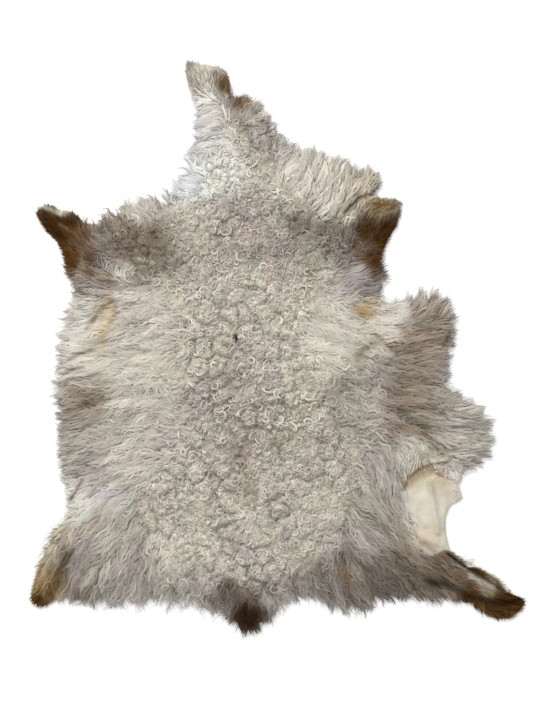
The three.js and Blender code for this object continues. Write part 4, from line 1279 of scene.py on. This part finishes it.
@dataclass
class Ringlets:
    """Tight curls of the back: each lock winds into a small open ring or a wave.

    A pair is the least and the most of a random draw, or where a smooth rise starts and ends.
    """

    hide: Hide
    finish: bpy.types.Material
    name: str
    seed: int
    spacing: float
    steps: int
    radius: float
    ring: float
    lift: float
    waved: float
    bold: float = 0.0
    tilt: float = 1.15
    gain: float = 1.17
    turns: tuple[float, float] = (0.4, 1.1)
    sizes: tuple[float, float] = (0.5, 1.4)
    swings: tuple[float, float] = (1.7, 2.7)
    cycles: tuple[float, float] = (0.8, 1.3)
    glow: tuple[float, float] = (0.6, 1.35)
    widths: tuple[float, float] = (0.6, 1.3)
    winds: tuple[float, float] = (0.7, 2.0)
    curly: tuple[float, float] = (0.3, 0.75)
    covered: tuple[float, float] = (0.5, 0.9)
    pale: tuple[float, float] = (0.3, 0.6)
    clear: float = 2 * MM
    patch: float = 30 * MM
    unlike: float = 1.4 * MM
    proud: float = 1.2 * MM
    lowest: float = 2.5 * MM
    cut: float = -60 * MM

    def build(self) -> list[bpy.types.Object]:
        """Makes the ringlets in two pieces, fore and hind.

        Returns:
            The two pieces.
        """
        rng = np.random.default_rng(self.seed)
        roots = self.hide.scatter(self.spacing, self.clear, rng)
        groom = self.hide.groom(roots)
        share = smooth(*self.curly, groom.curl) * smooth(*self.covered, groom.cover)
        share *= 0.6 + 0.4 * smooth(-0.4, 0.2, wander(roots, self.patch, self.seed + 1))
        keep = rng.random(len(roots)) < share
        roots, pale = roots[keep], smooth(*self.pale, groom.tone[keep].mean(1))
        count = len(roots)
        turns = rng.uniform(*self.turns, count)
        bold = rng.random(count) < self.bold
        ring = self.ring * rng.uniform(*self.sizes, count) * (1 + 0.2 * bold)
        way = rng.choice([-1.0, 1.0], count)
        middle = ((np.arange(self.steps) + 0.5) / self.steps)[None]
        winding = (turns * TAU)[:, None] * middle ** rng.uniform(*self.winds, (count, 1))
        swing = rng.uniform(*self.swings, (count, 1))
        waving = swing * np.sin(TAU * (rng.uniform(*self.cycles, (count, 1)) * middle + 0.1))
        bend = way[:, None] * np.where(rng.random((count, 1)) < self.waved, waving, winding)
        flat = grown(roots, rng.uniform(0, TAU, count), TAU * (turns + 0.1) * ring, bend)
        flat += (roots - flat.mean(1))[:, None]
        along = np.linspace(0, 1, self.steps + 1)[None]
        lean, way_up = self.tilt * rng.random(count), heading(rng.uniform(0, TAU, count))[:, None]
        across = ((flat - roots[:, None]) * way_up).sum(-1)
        flat = flat - ((1 - np.cos(lean))[:, None] * across)[..., None] * way_up
        leaning = 0.6 * np.sin(lean)[:, None] * across
        rise = self.lift * (np.sin(math.pi * np.minimum(along * 1.25, 1) * 0.62) - 0.25) + leaning
        rise += self.unlike * rng.uniform(-1, 1, (count, 1)) + self.proud * bold[:, None]
        z = 0.9 * self.hide.sample("height", flat) + rise
        line = np.concatenate([flat, np.maximum(z, self.lowest)[..., None]], axis=-1)
        swell = 0.55 + 0.45 * np.sin(math.pi * along**0.7)
        radius = self.radius * rng.uniform(*self.widths, (count, 1)) * swell
        radius = radius * (1 - 0.55 * along**3)
        bright = 1 + 0.1 * rng.normal(size=count) + 0.13 * wander(roots, self.patch, 42)
        bright += 0.16 * wander(roots, 13 * MM, 43)
        # Painted shade: curls rooted in a parting between clumps are darker.
        bright = np.clip(bright, *self.glow) * (1 - 0.25 * self.hide.sample("parting", roots))
        # Painted highlight: the bold curls, which stand higher than the rest, are paler.
        bright *= 1 + 0.1 * bold
        tones = self.hide.shaded(flat, self.gain * (1 - 0.14 * pale) * bright)
        fore = roots[:, 1] > self.cut
        parts = {self.name + "_fore": fore, self.name + "_hind": ~fore}
        return [Strands(line[p], radius[p], tones[p], np.ones(p.sum()))
                .build(name, self.finish, "fleece", rng) for name, p in parts.items()]


@dataclass
class CombedWool:
    """Wavy or straight wool that lies the way it is combed, drawn together into pointed locks.

    A pair is the least and the most of a random draw, or where a smooth rise starts and ends.
    """

    hide: Hide
    finish: bpy.types.Material
    name: str
    slot: str
    seed: int
    spacing: float
    steps: int
    radius: float
    clump: float
    wave: float
    pull: float
    stretch: float
    overhang: float
    lift: float
    longest: float = 1.0
    shortest: float = 0.0
    band: float = 1.0
    inset: float = 1.0 * MM
    flatness: float = 0.32
    gain: float = 0.94
    waves: tuple[float, float] = (1.2, 1.6)
    lengths: tuple[float, float] = (0.72, 1.15)
    widths: tuple[float, float] = (0.7, 1.3)
    outward: float = 0.45
    near_rim: tuple[float, float] = (2 * MM, 26 * MM)
    curly: tuple[float, float] = (0.3, 0.85)
    covered: tuple[float, float] = (0.35, 0.8)
    border: tuple[float, float] = (0.12, 0.34)
    neighbours: int = 9
    around: float = 8 * MM
    hook: float = 2.6
    stub: float = 7 * MM
    glow: tuple[float, float] = (0.5, 1.5)

    def _chosen(self, rng: np.random.Generator) -> tuple[np.ndarray, Groom]:
        """The roots of this wool and how it grows there.

        Args:
            rng: The seeded source of the scatter.

        Returns:
            The roots in metres, and the growth at each.
        """
        roots = self.hide.scatter(self.spacing, self.inset, rng)
        groom = self.hide.groom(roots)
        share = (1 - smooth(*self.curly, groom.curl)) * smooth(*self.covered, groom.cover)
        keep = rng.random(len(roots)) < share
        keep &= (groom.length >= self.shortest) & (groom.length < self.longest)
        keep &= self.hide.sample("edge", roots) < self.band
        return roots[keep], groom.only(keep)

    def _bundled(self, roots: np.ndarray, groom: Groom, clumps: np.ndarray) -> tuple[np.ndarray, np.ndarray]:
        """The bundle of each root, and how far to the left of the root the bundle's middle line runs.

        Args:
            roots: The roots in metres.
            groom: How the wool grows at each.
            clumps: The middles of the bundles.

        Returns:
            The bundle's number and that distance in metres, for each root.
        """
        tree = tree_of(clumps)
        found = [tree.find_n((x, y, 0), self.neighbours) for x, y in roots.tolist()]
        near = np.array([[clump[1] for clump in clumps_near] for clumps_near in found])
        offset, way = clumps[near] - roots[:, None], heading(groom.comb)[:, None]
        ahead = (offset * way).sum(-1)
        across = offset[..., 1] * way[..., 0] - offset[..., 0] * way[..., 1]
        rows, best = np.arange(len(roots)), np.argmin(across**2 + (0.45 * ahead) ** 2, axis=1)
        return near[rows, best], across[rows, best]

    def _lines(self, roots: np.ndarray, groom: Groom, length: np.ndarray, rng: np.random.Generator,
               clumps: np.ndarray, nearest: np.ndarray, across: np.ndarray) -> np.ndarray:
        """Flat centrelines, each lock's strands sharing their waves and drawn together at the tips.

        Args:
            roots: Where the strands start, in metres.
            groom: How the wool grows at each root.
            length: How long each strand is.
            rng: The seeded source of what differs between them.
            clumps: The middles of the bundles.
            nearest: The bundle of each strand.
            across: How far to its left that bundle's middle line runs.

        Returns:
            The points of each centreline.
        """
        number = len(clumps)
        middle = (np.arange(self.steps) + 0.5) / self.steps
        drift = 1.4 * TAU * wander(clumps, 55 * MM, self.seed + 1)
        phase = (drift + rng.uniform(-0.45, 0.45, number))[nearest]
        size = (1 + 0.5 * wander(clumps, 30 * MM, self.seed + 2))[nearest]
        waves = rng.uniform(*self.waves, number)[nearest] * np.clip(length / (50 * MM), 0.4, 1.2)
        curly = 0.35 + 0.9 * groom.curl
        hook = rng.uniform(-1, 1, number)[nearest] * groom.curl * self.hook
        out = np.stack([self.hide.sample("out_x", roots), self.hide.sample("out_y", roots)], axis=-1)
        near = 1 - smooth(*self.near_rim, self.hide.sample("edge", roots))
        way = heading(groom.comb) * (1 - self.outward * near)[:, None] + out * (self.outward * near)[:, None]
        start = np.arctan2(way[:, 1], way[:, 0]) + 0.1 * rng.normal(size=number)[nearest]
        start += 0.06 * rng.normal(size=len(roots))
        bend = (self.wave * size * curly)[:, None] * np.sin(TAU * waves[:, None] * middle + phase[:, None])
        bend = bend * (0.4 + middle) + hook[:, None] * middle**1.6 + 0.12 * rng.normal(size=bend.shape)
        flat = grown(roots, start, length, bend)
        along = np.linspace(0, 1, self.steps + 1)[None, :, None]
        left = heading(groom.comb + math.pi / 2) * (across * (0.6 + 0.4 * near))[:, None]
        return flat + left[:, None] * (self.pull * along**1.25)

    def build(self) -> list[bpy.types.Object]:
        """Makes the wool in a left and a right piece, or in one where it is little.

        Returns:
            The pieces.
        """
        rng = np.random.default_rng(self.seed)
        roots, groom = self._chosen(rng)
        clumps = self.hide.scatter(self.clump, -self.around, rng)
        nearest, across = self._bundled(roots, groom, clumps)
        border = smooth(*self.border, np.abs(across) / self.clump)
        length = groom.length * self.stretch * rng.uniform(*self.lengths, len(roots))
        state = rng.bit_generator.state
        flat = self._lines(roots, groom, length, rng, clumps, nearest, across)
        limit = self.overhang * rng.uniform(0.0, 1.0, len(roots)) ** 1.5
        beyond = -self.hide.sample("outline", flat) > limit[:, None]
        kept = np.where(beyond.any(1), np.argmax(beyond, axis=1), self.steps) / self.steps
        rng.bit_generator.state = state
        length = np.maximum(length * kept, self.stub)
        flat = self._lines(roots, groom, length, rng, clumps, nearest, across)
        along = np.linspace(0, 1, self.steps + 1)[None]
        calm = smooth(0.25, 0.5, groom.tone.mean(1)) * (1 - smooth(0.3, 0.7, groom.curl))
        rise = np.sin(math.pi * along**0.8) * (0.1 + rng.random((len(roots), 1)) ** 1.8) - 0.35 * (1 - along)
        rise = self.lift * (rise * (1 - 0.6 * calm)[:, None] - 0.35 * border[:, None])
        ground = 0.88 * self.hide.sample("height", flat)
        shape = (0.35 + 0.65 * smooth(0, 0.3, along)) * (1 - 0.93 * along**1.5)
        radius = self.radius * rng.uniform(*self.widths, (len(roots), 1)) * shape
        z = np.maximum(ground + rise, radius + 0.3 * MM)
        line = np.concatenate([flat, z[..., None]], axis=-1)
        dark = 1 - smooth(0.12, 0.5, groom.tone.mean(1))
        plain = smooth(0.4, 0.55, groom.tone.mean(1))
        uneven = 0.1 + 0.07 * dark - 0.05 * plain
        # Painted shade: strands near the edges of their bundle, where the bundles meet, are darker.
        bright = 1 + uneven * rng.normal(size=len(clumps))[nearest] - 0.22 * border
        bright += (0.07 + 0.08 * dark - 0.03 * plain) * rng.normal(size=len(roots)) + 0.07
        # Painted shade: strands rooted in a parting between clumps are darker.
        bright = np.clip(bright, *self.glow) * (1 - 0.2 * self.hide.sample("parting", roots))
        tones = self.hide.shaded(flat, self.gain * bright)
        parts = {self.name: np.ones(len(roots), bool)}
        if len(roots) * (self.steps * 6 + 2) > MOST_TRIANGLES:
            left = roots[:, 0] < np.median(roots[:, 0])
            parts = {self.name + "_left": left, self.name + "_right": ~left}
        crisp = 0.35 + 0.65 * dark
        return [Strands(line[p], radius[p], tones[p], crisp[p], self.flatness)
                .build(name, self.finish, self.slot, rng) for name, p in parts.items()]


@dataclass
class Studio:
    """Pale floor, soft light and the camera above the hide."""

    centre: tuple[float, float] = (-0.0196, -0.0111)
    view_height: float = 1.2087
    distance: float = 3.0
    floor_side: float = 30.0
    sensor: float = 36.0

    def build(self) -> None:
        """Makes the floor, the lights, the surroundings and the camera."""
        scene = bpy.context.scene
        scene.view_settings.view_transform = "Standard"
        bpy.ops.object.select_all(action="DESELECT")
        bpy.ops.mesh.primitive_plane_add(size=self.floor_side, location=(0, 0, -0.0002))
        floor = bpy.context.object
        floor.name = "floor"
        pale, _ = new_material("pale_floor", Base_Color=(0.9, 0.9, 0.9, 1), Roughness=0.9)
        floor.data.materials.append(pale)
        self._light("key", (-1.2, 2.2, 1.9), 1.2, 80)
        self._light("fill", (1.6, -0.6, 2.4), 2.4, 12)
        world = bpy.data.worlds.new("soft_surroundings")
        world.use_nodes = True
        sky = world.node_tree.nodes["Background"]
        sky.inputs["Color"].default_value = (1.0, 0.995, 0.985, 1)
        sky.inputs["Strength"].default_value = 0.75
        scene.world = world
        camera = bpy.data.objects.new("camera", bpy.data.cameras.new("camera"))
        camera.data.sensor_width = self.sensor
        camera.data.lens = self.sensor * self.distance / self.view_height
        camera.location = (*self.centre, self.distance + 0.015)
        scene.collection.objects.link(camera)
        scene.camera = camera
        LOG.info("studio: floor, two lights and a camera %.1f m above the hide", self.distance)

    @staticmethod
    def _light(name: str, place: tuple[float, float, float], side: float, power: float) -> None:
        """A square soft light that faces the middle of the floor.

        Args:
            name: The light's name.
            place: Where it stands, in metres.
            side: How wide it is, in metres.
            power: Its power in watts.
        """
        data = bpy.data.lights.new(name, "AREA")
        data.shape, data.size, data.energy = "SQUARE", side, power
        light = bpy.data.objects.new(name, data)
        light.location = place
        light.rotation_euler = Vector(place).to_track_quat("Z", "Y").to_euler()
        bpy.context.scene.collection.objects.link(light)


def main() -> None:
    """Builds the lambskin and the studio round it."""
    logging.basicConfig(level=logging.INFO, format="%(name)s: %(message)s")
    Studio().build()
    hide = Hide(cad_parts["lambskin"])
    streaks, mottle, rings = fibre_streaks(), wool_mottle(), curl_rings()
    Skin(hide, SkinFinish("tanned_skin", mottle)).build()
    Undercoat(hide, WoolFinish("undercoat_wool", streaks, mottle, rings, depth=0.0016, darkest=0.86)).build()
    curls = WoolFinish("curled_wool", streaks, mottle, depth=0.0005).material()
    combed = WoolFinish("combed_wool", streaks, mottle, amount=0.2, darkest=0.5, patchy=0.6).material()
    hair = WoolFinish("shank_hair", streaks, mottle, roughness=0.7, sheen=0.0, specular=0.03,
                      depth=0.0003, darkest=0.5).material()
    Ringlets(hide, curls, "curls", 41, spacing=9.2 * MM, steps=11, radius=2.0 * MM, ring=5.2 * MM,
             lift=2.6 * MM, waved=0.45, bold=0.06).build()
    Ringlets(hide, curls, "crimps", 46, spacing=9.0 * MM, steps=7, radius=1.2 * MM, ring=3.2 * MM,
             lift=1.2 * MM, waved=0.6).build()
    CombedWool(hide, combed, "locks", "fleece", 51, spacing=5.4 * MM, steps=6, radius=2.8 * MM, clump=22 * MM,
               wave=0.8, pull=0.36, stretch=1.0, overhang=7 * MM, lift=3.0 * MM, shortest=23 * MM).build()
    CombedWool(hide, combed, "wisps", "fleece", 61, spacing=5.6 * MM, steps=7, radius=0.55 * MM, clump=9 * MM,
               wave=0.7, pull=0.45, stretch=1.2, overhang=17 * MM, lift=3 * MM, shortest=23 * MM,
               band=24 * MM, inset=-1 * MM).build()
    CombedWool(hide, hair, "shank_hair", "shank_hair", 71, spacing=2.9 * MM, steps=4, radius=0.85 * MM,
               clump=7 * MM, wave=0.25, pull=0.45, stretch=1.0, overhang=2.5 * MM, lift=1.6 * MM,
               longest=23 * MM).build()


if __name__ == "__main__":
    main()
